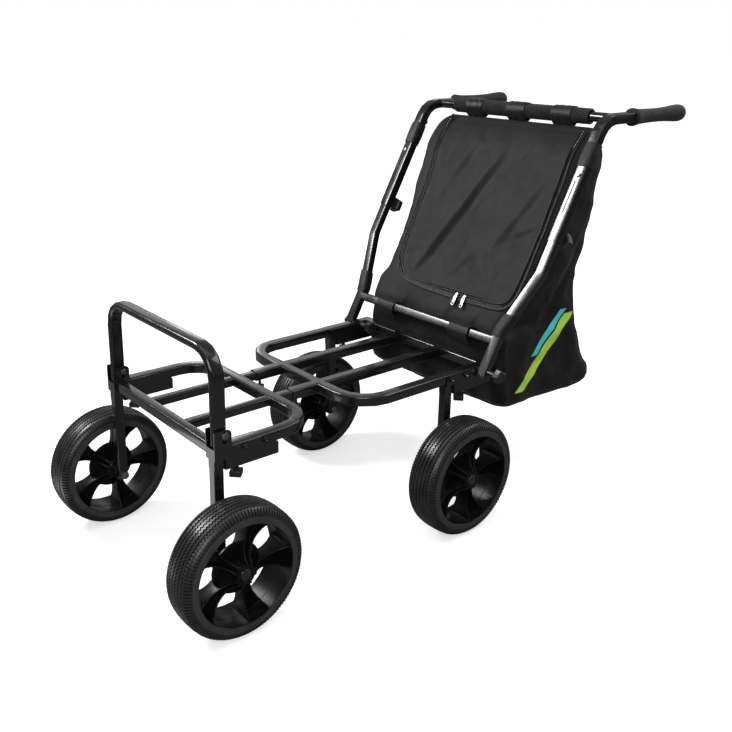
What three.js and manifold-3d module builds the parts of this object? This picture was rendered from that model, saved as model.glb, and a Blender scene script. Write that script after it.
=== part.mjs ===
// A four-wheeled fishing trolley: an extending platform with a folding front hoop,
// four plug-in wheel legs, a folding push handle and a zipped bag.
// Millimetres, +Z up, the handle towards +Y. The origin is on the ground below the middle.
import * as THREE from "three";
import { mergeVertices } from "three/addons/utils/BufferGeometryUtils.js";
import Module from "manifold-3d";

const wasm = await Module();
wasm.setup();

// Wheels
const wheelRadius = 130;
const tyreWidth = 75;
const wheelOutset = 57;
const wheelbase = 582;
const tyreBeadRadius = 113;
const tyreBoreRadius = 105.6;
const rimFlangeRadius = 112.6;
const rimSeatRadius = 105.2;
const rimFlangeWidth = 4;
const rimInnerRadius = 99;
const barrelInnerRadius = 100.5;
const spokeCount = 5;
const spokeHubHalfWidth = 6.5;
const spokeRimHalfWidth = 24;
const spokeWall = 3.4;
const spokeWeb = 6;
const spokeMidHalfDepth = 16;
const spokeEndHalfDepth = 34;
const firstSpokeAngle = -2;
const hubRadius = 20.5;
const hubDiscRadius = 51;
const hubDiscThickness = 5;
const hubHalfLength = 34;
const hubRecessRadius = 12.2;
const hubRecessDepth = 12;
const bushRadius = 8;
const bushFlangeRadius = 10.5;
const bushFlangeLength = 2.2;
const axleRadius = 5;
const axleEnd = 21.5;
const axleTip = 3.2;
const axleNutRadius = 9;
const axleNutLength = 7.5;
const axleCollarRadius = 10;
const buttonDome = 3;
const buttonProud = 2.6;
const buttonTravel = 4;

// Fits
const tubeGap = 0.3;
const turningGap = 0.4;

// Legs
const railSpacing = 396;
const legSize = 20;
const legCorner = 2.2;
const legBelowAxle = 11;
const legArmLength = 108;

// Platform
const platformTop = 348;
const railWidth = 25;
const railHeight = 22;
const railCorner = 4;
const frontOverhang = 6;
const crossbarDepth = 22;
const rearOverhang = 130;
const railSetback = 29;
const frontLoopRear = -62;
const rearLoopFront = 34;
const loopBarWidth = 25;
const loopCornerRadius = 68;
const innerRailSpacing = 132;
const slideTubeWidth = 21;
const slideTubeHeight = 18;
const slideTubeShort = 41;
const slideSeam = -30;
const hollowPastLeg = 54;
const platformScrewInset = 16;

// Brackets
const cheekThickness = 2.2;
const socketTop = 325.7;
const socketWall = 2;
const socketSetback = 2;
const socketLength = 115;
const cheekTop = 346;
const cheekSlopeStart = 90;
const earTop = 380;
const earRear = 25;
const earCorner = 10;
const slotBelowBolt = 11;
const boltRadius = 4;
const boltHeadRadius = 7.5;
const boltHeadHeight = 4;
const nutRadius = 5.6;
const nutHeight = 4.5;
const nutBelowTop = 8;
const threadRadius = 2.8;
const threadLength = 5.5;
const frontNutPlaces = [52, 96];
const rearNutPlaces = [-1, 44];

// Hoop
const hoopTop = 531;
const hoopDepth = 30;
const hoopThickness = 15.5;
const hoopCorner = 6.5;
const hoopBend = 53;
const hoopFoot = 349.2;
const hoopBehindLeg = 6;
const hoopBoltBehindLeg = 11;
const hoopBoltZ = 369;

// Handle
const handleLeanAngle = 28.6;
const pivotBehindLeg = 89;
const pivotZ = 340;
const lowerTubeWidth = 22.6;
const lowerTubeThickness = 19.6;
const upperTubeWidth = 26;
const upperTubeThickness = 23;
const handleTubeCorner = 3.5;
const handleSplay = 42.2;
const splayStart = 91;
const splayEnd = 237;
const splayBend = 60;
const handleEnd = 13;
const seam = 313;
const innerTubeEndShare = 0.507;
const boreEndShare = 0.563;
const crossbarUp = 69.5;
const crossbarThickness = 20;
const bendCorner = 599;
const topBend = 55;
const gripStartBack = 386;
const gripLength = 195;
const topBarBack = 43.5;
const topBarRadius = 11;
const slotStartShare = 0.227;
const slotEndShare = 0.486;
const slotWidth = 5;
const snapShare = 0.535;
const snapRadius = 4.6;
const snapProud = 3;
const snapLength = 12;
const clampAboveSeam = 14;
const clampStem = 12;
const screwStubShare = 0.85;
const screwStubLength = 9;
const screwStubRadius = 5.5;
const studRadius = 4.2;
const studInKnob = 21.6;
const hingeNutRadius = 8.5;
const hingeNutLength = 6.5;
const hingeNutEdge = 2.2;
const studInNut = 4;
const shoulderThickness = 1.2;
const shoulderRadius = 9;

// Knobs
const starRadius = 19;
const starLobeDepth = 3.4;
const starLobes = 5;
const starThickness = 17;
const starEdge = 2.4;
const hingeKnobRadius = 15;
const hingeStem = 22;
const hingeStemRadius = 6.5;
const wingRadius = 15;
const wingLobeDepth = 4.5;
const wingLobes = 4;
const wingThickness = 12;
const wingDrop = 12;
const wingScrewBehindLeg = 42;
const knobStemRadius = 5;
const screwRadius = 3;
const platformScrewDrop = 14;
const smallKnobRadius = 11;
const smallLobeDepth = 2.4;
const smallKnobThickness = 9;
const smallEdge = 1.6;

// Grips
const gripFlareRadius = 20;
const gripNeckRadius = 17;
const gripWaistRadius = 15.5;
const gripBulbRadius = 19.5;
const gripTipRadius = 16;
const gripBoreRadius = 10.9;
const spigotRadius = 10.2;
const spigotLength = 150;

// Foam sleeve and its hanger
const foamLength = 410;
const foamRidgeRadius = 18;
const foamValleyRadius = 15.4;
const foamBore = 12.3;
const foamPitch = 5.8;
const hangerSpacing = 133;
const hangerWidth = 54;
const hangerOuterRadius = 19.3;
const hangerInnerRadius = 16.3;
const hemLength = 424;
const hemThickness = 3;
const hemTop = 24;
const hemHeight = 3.4;

// Bag
const bagBelowBend = 27.5;
const bagBottom = 234;
const flapLeft = -165;
const flapRight = 203;
const flapThickness = 2.2;
const pullPlaces = { left: 70.5, right: 92.5 };
const pullUp = 126;
const pullFront = 4;
const pullLength = 26;
const pullWidth = 8;
const pullThickness = 1.6;
const sleeveGap = 0.4;
const sleeveThickness = 3.2;
const upperSleeveStartShare = 0.608;
const upperSleeveEndShare = 0.8;
const lowerSleeveStart = 80;
const lowerSleeveEnd = 134;
const tabInner = 178;
const barLoopOffset = 122;
const barLoopWidth = 58;
const barLoopBack = 6;

// Fineness of curves
const roundSides = 12;
const smallSides = 10;
const nutSides = 6;
const wheelSides = 20;
const foamSides = 8;
const boreEvery = 10;
const bendSteps = 4;
const spokeSteps = 3;
const overrun = 1;

const half = 0.5;
const quarter = 0.25;
const toRadians = Math.PI / 180;
const lean = handleLeanAngle * toRadians;
const railX = railSpacing * half;
const wheelTrack = railSpacing + wheelOutset * 2;
const railZ = platformTop - railHeight * half;
const legY = wheelbase * half;
const frontEnd = -legY - frontOverhang;
const rearEnd = legY + rearOverhang;
const railFrontStart = -legY + railSetback;
const slideTubeEnd = legY - slideTubeShort;
const hollowEnd = legY + hollowPastLeg;
const hoopY = -legY + hoopBehindLeg;
const hoopBoltY = -legY + hoopBoltBehindLeg;
const pivotY = legY + pivotBehindLeg;
const gripStartY = pivotY + gripStartBack;
const gripEndY = gripStartY + gripLength;
const legTop = socketTop - socketWall - tubeGap;
const socketStart = legSize * half + socketSetback;
const socketEnd = socketStart + socketLength;
const socketBore = legSize + tubeGap * 2;
const cheekInner = railWidth * half + tubeGap;
const cheekOuter = cheekInner + cheekThickness;
const hingeRoom = shoulderThickness + lowerTubeWidth + tubeGap * 2;
const hingeSpacing = (railX + cheekOuter + shoulderThickness + tubeGap) * 2 + lowerTubeWidth;
const handleSpacing = hingeSpacing + handleSplay * 2;
const collarFront = hoopY - hoopDepth * half - tubeGap - cheekThickness + legY;
const cornerY = pivotY + bendCorner * Math.sin(lean);
const upperReach = bendCorner - seam;
const innerTubeEnd = seam + upperReach * innerTubeEndShare;
const boreEnd = seam + upperReach * boreEndShare;
const slotStart = seam + upperReach * slotStartShare;
const slotEnd = seam + upperReach * slotEndShare;
const snapUp = seam + upperReach * snapShare;
const clampUp = seam + clampAboveSeam;
const screwStubUp = seam + upperReach * screwStubShare;
const upperSleeveStart = seam + upperReach * upperSleeveStartShare;
const upperSleeveEnd = seam + upperReach * upperSleeveEndShare;
const bagTop = pivotZ + bendCorner * Math.cos(lean) - bagBelowBend;
const originY = (gripEndY - legY - wheelRadius) * half;

// Surface finishes
const blackPaint = { color: 0x141414, roughness: 0.38, metalness: 0.35 };
const brightSteel = { color: 0xb9bbbd, roughness: 0.28, metalness: 1 };
const blackPlastic = { color: 0x121212, roughness: 0.55, metalness: 0 };
const glossPlastic = { color: 0x0c0c0c, roughness: 0.22, metalness: 0 };
const tyreFoam = { color: 0x1d1d1c, roughness: 0.85, metalness: 0 };
const gripFoam = { color: 0x161616, roughness: 0.9, metalness: 0 };
const bagFabric = { color: 0x202020, roughness: 0.95, metalness: 0 };

// A closed geometry becomes a solid that can be joined and cut.
function solidOf(geometry) {
  const bare = geometry.index ? geometry.toNonIndexed() : geometry.clone();
  bare.deleteAttribute("normal");
  bare.deleteAttribute("uv");
  const welded = mergeVertices(bare);
  return new wasm.Manifold(
    new wasm.Mesh({
      numProp: 3,
      vertProperties: welded.attributes.position.array,
      triVerts: new Uint32Array(welded.index.array),
    }),
  );
}

function geometryOf(solid) {
  const mesh = solid.getMesh();
  const geometry = new THREE.BufferGeometry();
  geometry.setAttribute("position", new THREE.BufferAttribute(mesh.vertProperties, 3));
  geometry.setIndex(new THREE.BufferAttribute(mesh.triVerts, 1));
  const faceted = geometry.toNonIndexed();
  faceted.computeVertexNormals();
  return faceted;
}

function fuse(...geometries) {
  return geometryOf(geometries.map(solidOf).reduce((a, b) => a.add(b)));
}

function carve(base, ...tools) {
  return geometryOf(tools.map(solidOf).reduce((a, b) => a.subtract(b), solidOf(base)));
}

function keepCommon(a, b) {
  return geometryOf(solidOf(a).intersect(solidOf(b)));
}

function mesh(name, geometry, finish) {
  const part = new THREE.Mesh(geometry, new THREE.MeshStandardMaterial(finish));
  part.name = name;
  return part;
}

// A tube's centre line: straight runs, with a round bend of the given radius at each corner.
// Its sections keep one side facing along "flat", the normal of the plane that it lies in.
class BentLine extends THREE.Curve {
  constructor(corners, radius, flat) {
    super();
    this.flat = flat.clone().normalize();
    this.stations = [];
    this.headings = [];
    corners.forEach((corner, i) => {
      const into = i > 0 ? corner.clone().sub(corners[i - 1]).normalize() : null;
      const out = i < corners.length - 1 ? corners[i + 1].clone().sub(corner).normalize() : null;
      if (into && out) this.bend(corner, into, out, radius);
      else this.add(corner, into || out);
    });
  }
  add(point, heading) {
    this.stations.push(point.clone());
    this.headings.push(heading.clone());
  }
  bend(corner, into, out, radius) {
    const turn = into.angleTo(out);
    const inward = out.clone().addScaledVector(into, -out.dot(into)).normalize();
    const start = corner.clone().addScaledVector(into, -radius * Math.tan(turn * half));
    const steps = Math.max(2, Math.round((bendSteps * turn) / (Math.PI * half)));
    for (let i = 0; i <= steps; i++) {
      const angle = (turn * i) / steps;
      const point = start.clone().addScaledVector(inward, radius * (1 - Math.cos(angle)));
      point.addScaledVector(into, radius * Math.sin(angle));
      const heading = into.clone().multiplyScalar(Math.cos(angle));
      this.add(point, heading.addScaledVector(inward, Math.sin(angle)));
    }
  }
  getSpacedPoints() {
    return this.stations;
  }
  computeFrenetFrames() {
    const normals = this.headings.map(() => this.flat);
    const binormals = this.headings.map((t) => new THREE.Vector3().crossVectors(t, this.flat));
    return { tangents: this.headings, normals, binormals };
  }
}

// A rectangle with rounded corners, centred on zero.
function roundedRectangle(width, height, radius) {
  const x = width * half - radius;
  const y = height * half - radius;
  const quarterTurn = Math.PI * half;
  const shape = new THREE.Shape();
  shape.absarc(x, y, radius, 0, quarterTurn);
  shape.absarc(-x, y, radius, quarterTurn, Math.PI);
  shape.absarc(-x, -y, radius, Math.PI, Math.PI + quarterTurn);
  shape.absarc(x, -y, radius, -quarterTurn, 0);
  return shape;
}

// A bent tube: "across" is its size along "flat", "along" its size in the plane of the bends.
function tube(corners, flat, across, along, corner, bend = across, curveSegments = 1) {
  const line = new BentLine(corners, bend, flat);
  const steps = line.stations.length - 1;
  const section = roundedRectangle(across, along, corner);
  return new THREE.ExtrudeGeometry(section, { steps, extrudePath: line, curveSegments });
}

const v = (x, y, z) => new THREE.Vector3(x, y, z);
const xAxis = v(1, 0, 0);
const yAxis = v(0, 1, 0);
const zAxis = v(0, 0, 1);

// An outline in the YZ plane, given as [y, z], made solid from x = low to x = high.
function plateYZ(outline, low, high, holes = [], curveSegments = 3) {
  const points = outline instanceof THREE.Shape ? null : outline.map(([y, z]) => new THREE.Vector2(y, z));
  const shape = points ? new THREE.Shape(points) : outline;
  shape.holes.push(...holes);
  const depth = high - low;
  const plate = new THREE.ExtrudeGeometry(shape, { depth, bevelEnabled: false, curveSegments });
  plate.applyMatrix4(new THREE.Matrix4().makeBasis(yAxis, zAxis, xAxis));
  return plate.translate(low, 0, 0);
}

// A cylinder along the given axis, from one place on that axis to another.
function rod(axis, radius, from, to, sides = roundSides) {
  const cylinder = new THREE.CylinderGeometry(radius, radius, to - from, sides);
  cylinder.translate(0, (from + to) * half, 0);
  if (axis === "x") cylinder.rotateZ(-Math.PI * half);
  if (axis === "z") cylinder.rotateX(Math.PI * half);
  return cylinder;
}

// A solid turned about X: its profile is a list of [x, radius], from end to end.
function turned(profile, sides = roundSides) {
  const points = profile.map(([x, radius]) => new THREE.Vector2(radius, x));
  const lathe = new THREE.LatheGeometry(points, sides);
  return lathe.rotateZ(-Math.PI * half);
}

// A knob's outline: a round with evenly spaced lobes.
function lobedOutline(radius, depth, lobes) {
  const points = [];
  const count = lobes * 3;
  for (let i = 0; i < count; i++) {
    const angle = (i / count) * Math.PI * 2;
    const reach = radius - depth * half * (1 - Math.cos(lobes * angle));
    points.push(new THREE.Vector2(reach * Math.cos(angle), reach * Math.sin(angle)));
  }
  return new THREE.Shape(points);
}

// A lobed knob head along +Z, with chamfered edges.
function knobHead(radius, depth, lobes, thickness, edge) {
  const head = new THREE.ExtrudeGeometry(lobedOutline(radius - edge, depth, lobes), {
    depth: thickness - edge * 2,
    bevelThickness: edge,
    bevelSize: edge,
    bevelSegments: 1,
  });
  return head.translate(0, 0, edge);
}

// Tyre: a foam-filled ring, crowned, with stepped shoulders.
// Shares of the half width and of the wheel's radius, from one side to the crown.
const shoulderShares = [[-1, 0.9], [-0.85, 0.953], [-0.56, 0.99]];

function tyreGeometry() {
  const side = tyreWidth * half;
  const seat = side - rimFlangeWidth - tubeGap;
  const crown = [...shoulderShares, ...shoulderShares.slice().reverse().map(([x, r]) => [-x, r])];
  return turned([
    [side, tyreBeadRadius], [seat, tyreBeadRadius], [seat, tyreBoreRadius],
    [-seat, tyreBoreRadius], [-seat, tyreBeadRadius], [-side, tyreBeadRadius],
    ...crown.map(([x, r]) => [side * x, wheelRadius * r]), [side, tyreBeadRadius],
  ], wheelSides);
}

// Rim: a barrel with two flanges, a hub in a thin disc, and channel spokes that flare to the rim
function barrelGeometry() {
  const side = tyreWidth * half;
  const seat = side - rimFlangeWidth;
  return turned([
    [side, rimInnerRadius], [0, barrelInnerRadius], [-side, rimInnerRadius],
    [-side, rimFlangeRadius], [-seat, rimFlangeRadius], [-seat, rimSeatRadius],
    [seat, rimSeatRadius], [seat, rimFlangeRadius], [side, rimFlangeRadius],
    [side, rimInnerRadius],
  ], wheelSides);
}

// Half the spoke's width, and half its depth, at a share of the way from the hub to the rim.
function spokeHalfWidth(share) {
  return spokeHubHalfWidth + (spokeRimHalfWidth - spokeHubHalfWidth) * share * share;
}

function spokeHalfDepth(share) {
  const fromMiddle = share * 2 - 1;
  return spokeMidHalfDepth + (spokeEndHalfDepth - spokeMidHalfDepth) * fromMiddle * fromMiddle;
}

// A symmetrical outline of [distance from the axle, half size], by a function of the share.
function spokeOutline(from, to, halfSize) {
  const edge = [];
  for (let i = 0; i <= spokeSteps; i++) {
    const share = i / spokeSteps;
    edge.push([from + (to - from) * share, halfSize(share)]);
  }
  return [...edge, ...edge.slice().reverse().map(([y, z]) => [y, -z])];
}

function spokeGeometry() {
  const from = hubRadius - spokeWall;
  const to = rimInnerRadius + spokeWall * half;
  const reach = spokeEndHalfDepth + overrun;
  const across = spokeRimHalfWidth + overrun;
  const channel = plateYZ(spokeOutline(from, to, spokeHalfWidth), -reach, reach);
  const inner = (share) => spokeHalfWidth(share) - spokeWall;
  const pocket = spokeOutline(hubRadius - overrun, to + overrun, inner);
  const front = plateYZ(pocket, spokeWeb * half, reach + overrun);
  const back = plateYZ(pocket, -reach - overrun, -spokeWeb * half);
  const dip = plateYZ(spokeOutline(from, to, spokeHalfDepth), -across, across);
  return keepCommon(carve(channel, front, back), dip.rotateY(Math.PI * half));
}

function rimGeometry() {
  const spokes = [];
  for (let i = 0; i < spokeCount; i++) {
    const angle = (firstSpokeAngle + (i * 360) / spokeCount) * toRadians;
    spokes.push(spokeGeometry().rotateX(angle));
  }
  const end = hubHalfLength + overrun;
  const bore = rod("x", bushRadius + tubeGap, -end, end);
  const buttonSeat = rod("x", hubRecessRadius, hubHalfLength - hubRecessDepth, end);
  const bushSeat = rod("x", bushFlangeRadius + tubeGap, -end, -hubHalfLength + bushFlangeLength);
  const hub = rod("x", hubRadius, -hubHalfLength, hubHalfLength);
  const disc = rod("x", hubDiscRadius, -hubDiscThickness * half, hubDiscThickness * half, wheelSides);
  return carve(fuse(barrelGeometry(), hub, disc, ...spokes), bore, buttonSeat, bushSeat);
}

// Hub bush: a flanged sleeve that turns on the axle
function bushGeometry() {
  const outer = hubHalfLength - hubRecessDepth - tubeGap;
  const shoulder = -hubHalfLength + bushFlangeLength - tubeGap;
  const bore = axleRadius + tubeGap;
  return turned([
    [outer, bore], [-hubHalfLength, bore], [-hubHalfLength, bushFlangeRadius],
    [shoulder, bushFlangeRadius], [shoulder, bushRadius], [outer, bushRadius], [outer, bore],
  ]);
}

// Axle: a rod through the leg, with a collar against the leg and a nut on its far side
function axleGeometry() {
  const legOuter = railX - wheelTrack * half + legSize * half;
  const nutStart = legOuter - legSize - tubeGap;
  const nutEnd = nutStart - axleNutLength;
  const shaft = turned([
    [nutEnd - axleTip, 0], [nutEnd - axleTip, axleRadius], [legOuter + tubeGap, axleRadius],
    [legOuter + tubeGap, axleCollarRadius], [-hubHalfLength - tubeGap, axleCollarRadius],
    [-hubHalfLength - tubeGap, axleRadius], [axleEnd, axleRadius], [axleEnd, 0],
  ], smallSides);
  return fuse(shaft, rod("x", axleNutRadius, nutEnd, nutStart, nutSides));
}

// Release button: a domed cap in the hub's end, pressed in to free the wheel
function releaseButtonGeometry() {
  const radius = hubRecessRadius - turningGap;
  const back = hubHalfLength - hubRecessDepth + buttonTravel + tubeGap;
  const face = hubHalfLength + buttonProud;
  return turned([[back, 0], [back, radius], [face - buttonDome, radius],
    [face - buttonDome * quarter, radius - buttonDome], [face, 0]]);
}

// Leg: an upright and an arm welded square to it; the arm plugs into the socket
function legGeometry() {
  const armZ = legTop - legSize * half;
  const upright = tube([v(0, 0, wheelRadius - legBelowAxle), v(0, 0, legTop)], xAxis,
    legSize, legSize, legCorner);
  const arm = tube([v(0, -legSize * half, armZ), v(0, legSize * half + legArmLength, armZ)], xAxis,
    legSize, legSize, legCorner);
  const hole = rod("x", axleRadius + tubeGap, -legSize, legSize, smallSides);
  return carve(fuse(upright, arm), hole.translate(0, 0, wheelRadius));
}

// Wing screw: it clamps the leg's arm from below, through the socket's floor
function wingScrewGeometry() {
  const top = legTop - legSize - tubeGap;
  const headTop = top - socketWall - wingDrop;
  const head = knobHead(wingRadius, wingLobeDepth, wingLobes, wingThickness, smallEdge);
  head.translate(0, 0, headTop - wingThickness);
  const boss = rod("z", knobStemRadius, headTop - overrun, headTop + wingDrop * half, smallSides);
  return fuse(head, boss, rod("z", screwRadius, headTop - overrun, top, smallSides));
}

// Bracket: two cheeks round the rail, joined by the leg's socket; the front one rises to the hoop
function cheekOutline(raised) {
  const outline = new THREE.Shape();
  outline.moveTo(socketStart, socketTop - socketWall - socketBore);
  outline.lineTo(socketEnd, socketTop - socketWall - socketBore);
  outline.lineTo(socketEnd, socketTop);
  outline.lineTo(cheekSlopeStart, cheekTop);
  if (raised) {
    outline.lineTo(earRear, cheekTop);
    outline.lineTo(earRear, earTop - earCorner);
    outline.absarc(earRear - earCorner, earTop - earCorner, earCorner, 0, Math.PI * half);
    outline.lineTo(collarFront, earTop);
  } else {
    outline.lineTo(collarFront, cheekTop);
  }
  outline.lineTo(collarFront, legTop + tubeGap * 2);
  outline.lineTo(socketStart, legTop + tubeGap * 2);
  outline.closePath();
  return outline;
}

// A long round hole in the YZ plane, from its upper centre down by a length.
function slotYZ(y, z, radius, length) {
  const slot = new THREE.Path();
  slot.absarc(y, z, radius, 0, Math.PI);
  slot.absarc(y, z - length, radius, Math.PI, Math.PI * 2);
  slot.closePath();
  return slot;
}

// The web across the front of the raised cheeks, before the hoop's foot.
function collarGeometry() {
  const low = legTop + tubeGap * 2;
  const reach = cheekInner + cheekThickness * half;
  const web = new THREE.BoxGeometry(reach * 2, cheekThickness, cheekTop - low);
  return web.translate(0, collarFront + cheekThickness * half, (cheekTop + low) * half);
}

// A cross bolt's nut and thread end on the outer cheek.
function boltEnd(y) {
  const nut = rod("x", nutRadius, cheekOuter - overrun, cheekOuter + nutHeight, nutSides);
  const thread = rod("x", threadRadius, cheekOuter, cheekOuter + nutHeight + threadLength, nutSides);
  return fuse(nut, thread).translate(0, y, cheekTop - nutBelowTop);
}

// The stud that the handle turns on, with its shoulder. On the left it ends in a low nut, and
// the hinge knob is on a second stud on the inner cheek.
function hingeStuds(hand) {
  const reach = cheekOuter + hingeRoom + (hand === "right" ? studInKnob : studInNut);
  const studs = [
    rod("x", studRadius, cheekOuter - overrun, reach, smallSides),
    rod("x", shoulderRadius, cheekOuter - overrun, cheekOuter + shoulderThickness),
  ];
  if (hand === "left") {
    const inner = cheekOuter + tubeGap + studInKnob;
    studs.push(rod("x", studRadius, -inner, -cheekInner - cheekThickness * half, smallSides));
  }
  return fuse(...studs).translate(0, pivotY - legY, pivotZ);
}

// The room for the rear crossbar's end beside the inner cheek.
function crossbarRoom() {
  const start = rearEnd - railWidth - tubeGap - legY;
  const room = new THREE.BoxGeometry(cheekOuter + overrun, socketLength, railHeight + tubeGap * 2);
  return room.translate(-(cheekOuter + overrun) * half, start + socketLength * half, railZ);
}

function bracketGeometry(raised, hand) {
  const armZ = legTop - legSize * half;
  const holes = () => (raised
    ? [slotYZ(hoopBoltY + legY, hoopBoltZ, boltRadius + turningGap, slotBelowBolt)] : []);
  const joined = [
    plateYZ(cheekOutline(raised), cheekInner, cheekOuter, holes()),
    plateYZ(cheekOutline(raised), -cheekOuter, -cheekInner, holes()),
    tube([v(0, socketStart, armZ), v(0, socketEnd, armZ)], xAxis,
      (cheekInner + cheekThickness * half) * 2, socketBore + socketWall * 2, legCorner),
    ...(raised ? frontNutPlaces : rearNutPlaces).map(boltEnd),
    raised ? collarGeometry() : hingeStuds(hand),
  ];
  const cuts = [
    tube([v(0, socketStart - overrun, armZ), v(0, socketEnd + overrun, armZ)], xAxis,
      socketBore, socketBore, legCorner),
    rod("z", screwRadius + tubeGap, armZ - legSize, armZ, smallSides).translate(0, wingScrewBehindLeg, 0),
  ];
  if (!raised) cuts.push(crossbarRoom());
  return carve(fuse(...joined), ...cuts);
}

// Platform's front frame: rails, end bars and the two tubes that slide in the rear frame
function frontFrameGeometry() {
  const z = railZ;
  const loopY = frontLoopRear - loopBarWidth * half;
  const loop = tube([v(railX, railFrontStart, z), v(railX, loopY, z), v(-railX, loopY, z),
    v(-railX, railFrontStart, z)], zAxis, railHeight, railWidth, railCorner, loopCornerRadius);
  const barHalf = railX - cheekOuter - tubeGap;
  const barY = frontEnd + crossbarDepth * half;
  const bar = tube([v(-barHalf, barY, z), v(barHalf, barY, z)], zAxis, railHeight, crossbarDepth, railCorner);
  const slides = [-1, 1].map((side) => {
    const x = side * innerRailSpacing * half;
    return tube([v(x, barY, z), v(x, slideTubeEnd, z)], zAxis, slideTubeHeight, slideTubeWidth, railCorner);
  });
  return fuse(loop, bar, ...slides);
}

// Platform's rear frame: rails, end bars and two hollow rails
function rearFrameGeometry() {
  const z = railZ;
  const loopY = rearLoopFront + loopBarWidth * half;
  const loop = tube([v(railX, rearEnd, z), v(railX, loopY, z), v(-railX, loopY, z), v(-railX, rearEnd, z)],
    zAxis, railHeight, railWidth, railCorner, loopCornerRadius);
  const barY = rearEnd - railWidth * half;
  const bar = tube([v(-railX, barY, z), v(railX, barY, z)], zAxis, railHeight, railWidth, railCorner);
  const rails = [];
  const cuts = [];
  for (const side of [-1, 1]) {
    const x = side * innerRailSpacing * half;
    rails.push(tube([v(x, slideSeam, z), v(x, barY, z)], zAxis, railHeight, railWidth, railCorner));
    cuts.push(tube([v(x, slideSeam - overrun, z), v(x, hollowEnd, z)], zAxis,
      slideTubeHeight + tubeGap * 2, slideTubeWidth + tubeGap * 2, railCorner));
    cuts.push(rod("z", screwRadius + tubeGap, z - railHeight, z, smallSides)
      .translate(x, slideSeam + platformScrewInset, 0));
  }
  return carve(fuse(loop, bar, ...rails), ...cuts);
}

// Platform screw: it clamps the sliding tube from below
function platformScrewGeometry() {
  const headTop = platformTop - railHeight - platformScrewDrop;
  const head = knobHead(smallKnobRadius, smallLobeDepth, wingLobes, smallKnobThickness, smallEdge);
  head.translate(0, 0, headTop - smallKnobThickness);
  const top = railZ - slideTubeHeight * half - tubeGap;
  return fuse(head, rod("z", screwRadius, headTop - overrun, top, smallSides));
}

// Hoop: one bent flat-oval tube, with a bolt hole across each foot
function hoopGeometry() {
  const top = hoopTop - hoopThickness * half;
  const hoop = tube([v(railX, hoopY, hoopFoot), v(railX, hoopY, top), v(-railX, hoopY, top),
    v(-railX, hoopY, hoopFoot)], yAxis, hoopDepth, hoopThickness, hoopCorner, hoopBend);
  const reach = railX + hoopThickness;
  const hole = rod("x", boltRadius + turningGap, -reach, reach, smallSides);
  return carve(hoop, hole.translate(0, hoopBoltY, hoopBoltZ));
}

// Hoop bolt: it carries the hoop's foot between the cheeks and slides in their slots
function hoopBoltGeometry() {
  const outside = cheekOuter + tubeGap;
  const inside = cheekInner - tubeGap;
  const foot = hoopThickness * half + tubeGap;
  return turned([
    [-outside - nutHeight, 0], [-outside - nutHeight, nutRadius], [-outside, nutRadius],
    [-outside, boltRadius], [-inside, boltRadius], [-inside, boltHeadRadius], [-foot, boltHeadRadius],
    [-foot, boltRadius], [foot, boltRadius], [foot, boltHeadRadius], [inside, boltHeadRadius],
    [inside, boltRadius], [outside, boltRadius], [outside, boltHeadRadius],
    [outside + boltHeadHeight * half, boltHeadRadius], [outside + boltHeadHeight, boltRadius],
    [outside + boltHeadHeight, 0],
  ], smallSides);
}

// Handle's lower frame: two tubes that splay outwards, and the bar between them
function lowerHandleGeometry() {
  const near = hingeSpacing * half;
  const wide = handleSpacing * half;
  const side = (s) => tube([v(s * near, 0, -handleEnd), v(s * near, 0, splayStart),
    v(s * wide, 0, splayEnd), v(s * wide, 0, innerTubeEnd)], yAxis, lowerTubeThickness,
  lowerTubeWidth, handleTubeCorner, splayBend);
  const bar = tube([v(-near, 0, crossbarUp), v(near, 0, crossbarUp)], yAxis, lowerTubeThickness,
    crossbarThickness, handleTubeCorner);
  const reach = near + lowerTubeWidth;
  return carve(fuse(side(1), side(-1), bar), rod("x", studRadius + turningGap, -reach, reach, smallSides));
}

// Handle's upper frame: two hollow tubes that bend back, the top bar, and a round spigot in each grip
function upperHandleGeometry() {
  const corner = v(0, 0, bendCorner);
  const level = v(0, Math.cos(lean), Math.sin(lean));
  const gripStart = corner.clone().addScaledVector(level, gripStartY - cornerY);
  const spigotStart = gripStart.clone().addScaledVector(level, -overrun);
  const spigotEnd = gripStart.clone().addScaledVector(level, spigotLength);
  const barAt = corner.clone().addScaledVector(level, topBarBack);
  const joined = [rod("x", topBarRadius, -handleSpacing * half, handleSpacing * half)
    .translate(0, barAt.y, barAt.z)];
  const cuts = [];
  for (const side of [-1, 1]) {
    const x = side * handleSpacing * half;
    const at = (point) => point.clone().setX(x);
    joined.push(tube([v(x, 0, seam), at(corner), at(gripStart)], xAxis, upperTubeWidth,
      upperTubeThickness, handleTubeCorner, topBend));
    joined.push(tube([at(spigotStart), at(spigotEnd)], xAxis, spigotRadius * 2, spigotRadius * 2,
      spigotRadius - tubeGap, topBend, 2));
    joined.push(rod("y", screwStubRadius, 0, upperTubeThickness * half + screwStubLength, smallSides)
      .translate(x, 0, screwStubUp));
    cuts.push(...upperTubeCuts().map((cut) => cut.translate(x, 0, 0)));
  }
  return carve(fuse(...joined), ...cuts);
}

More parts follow.
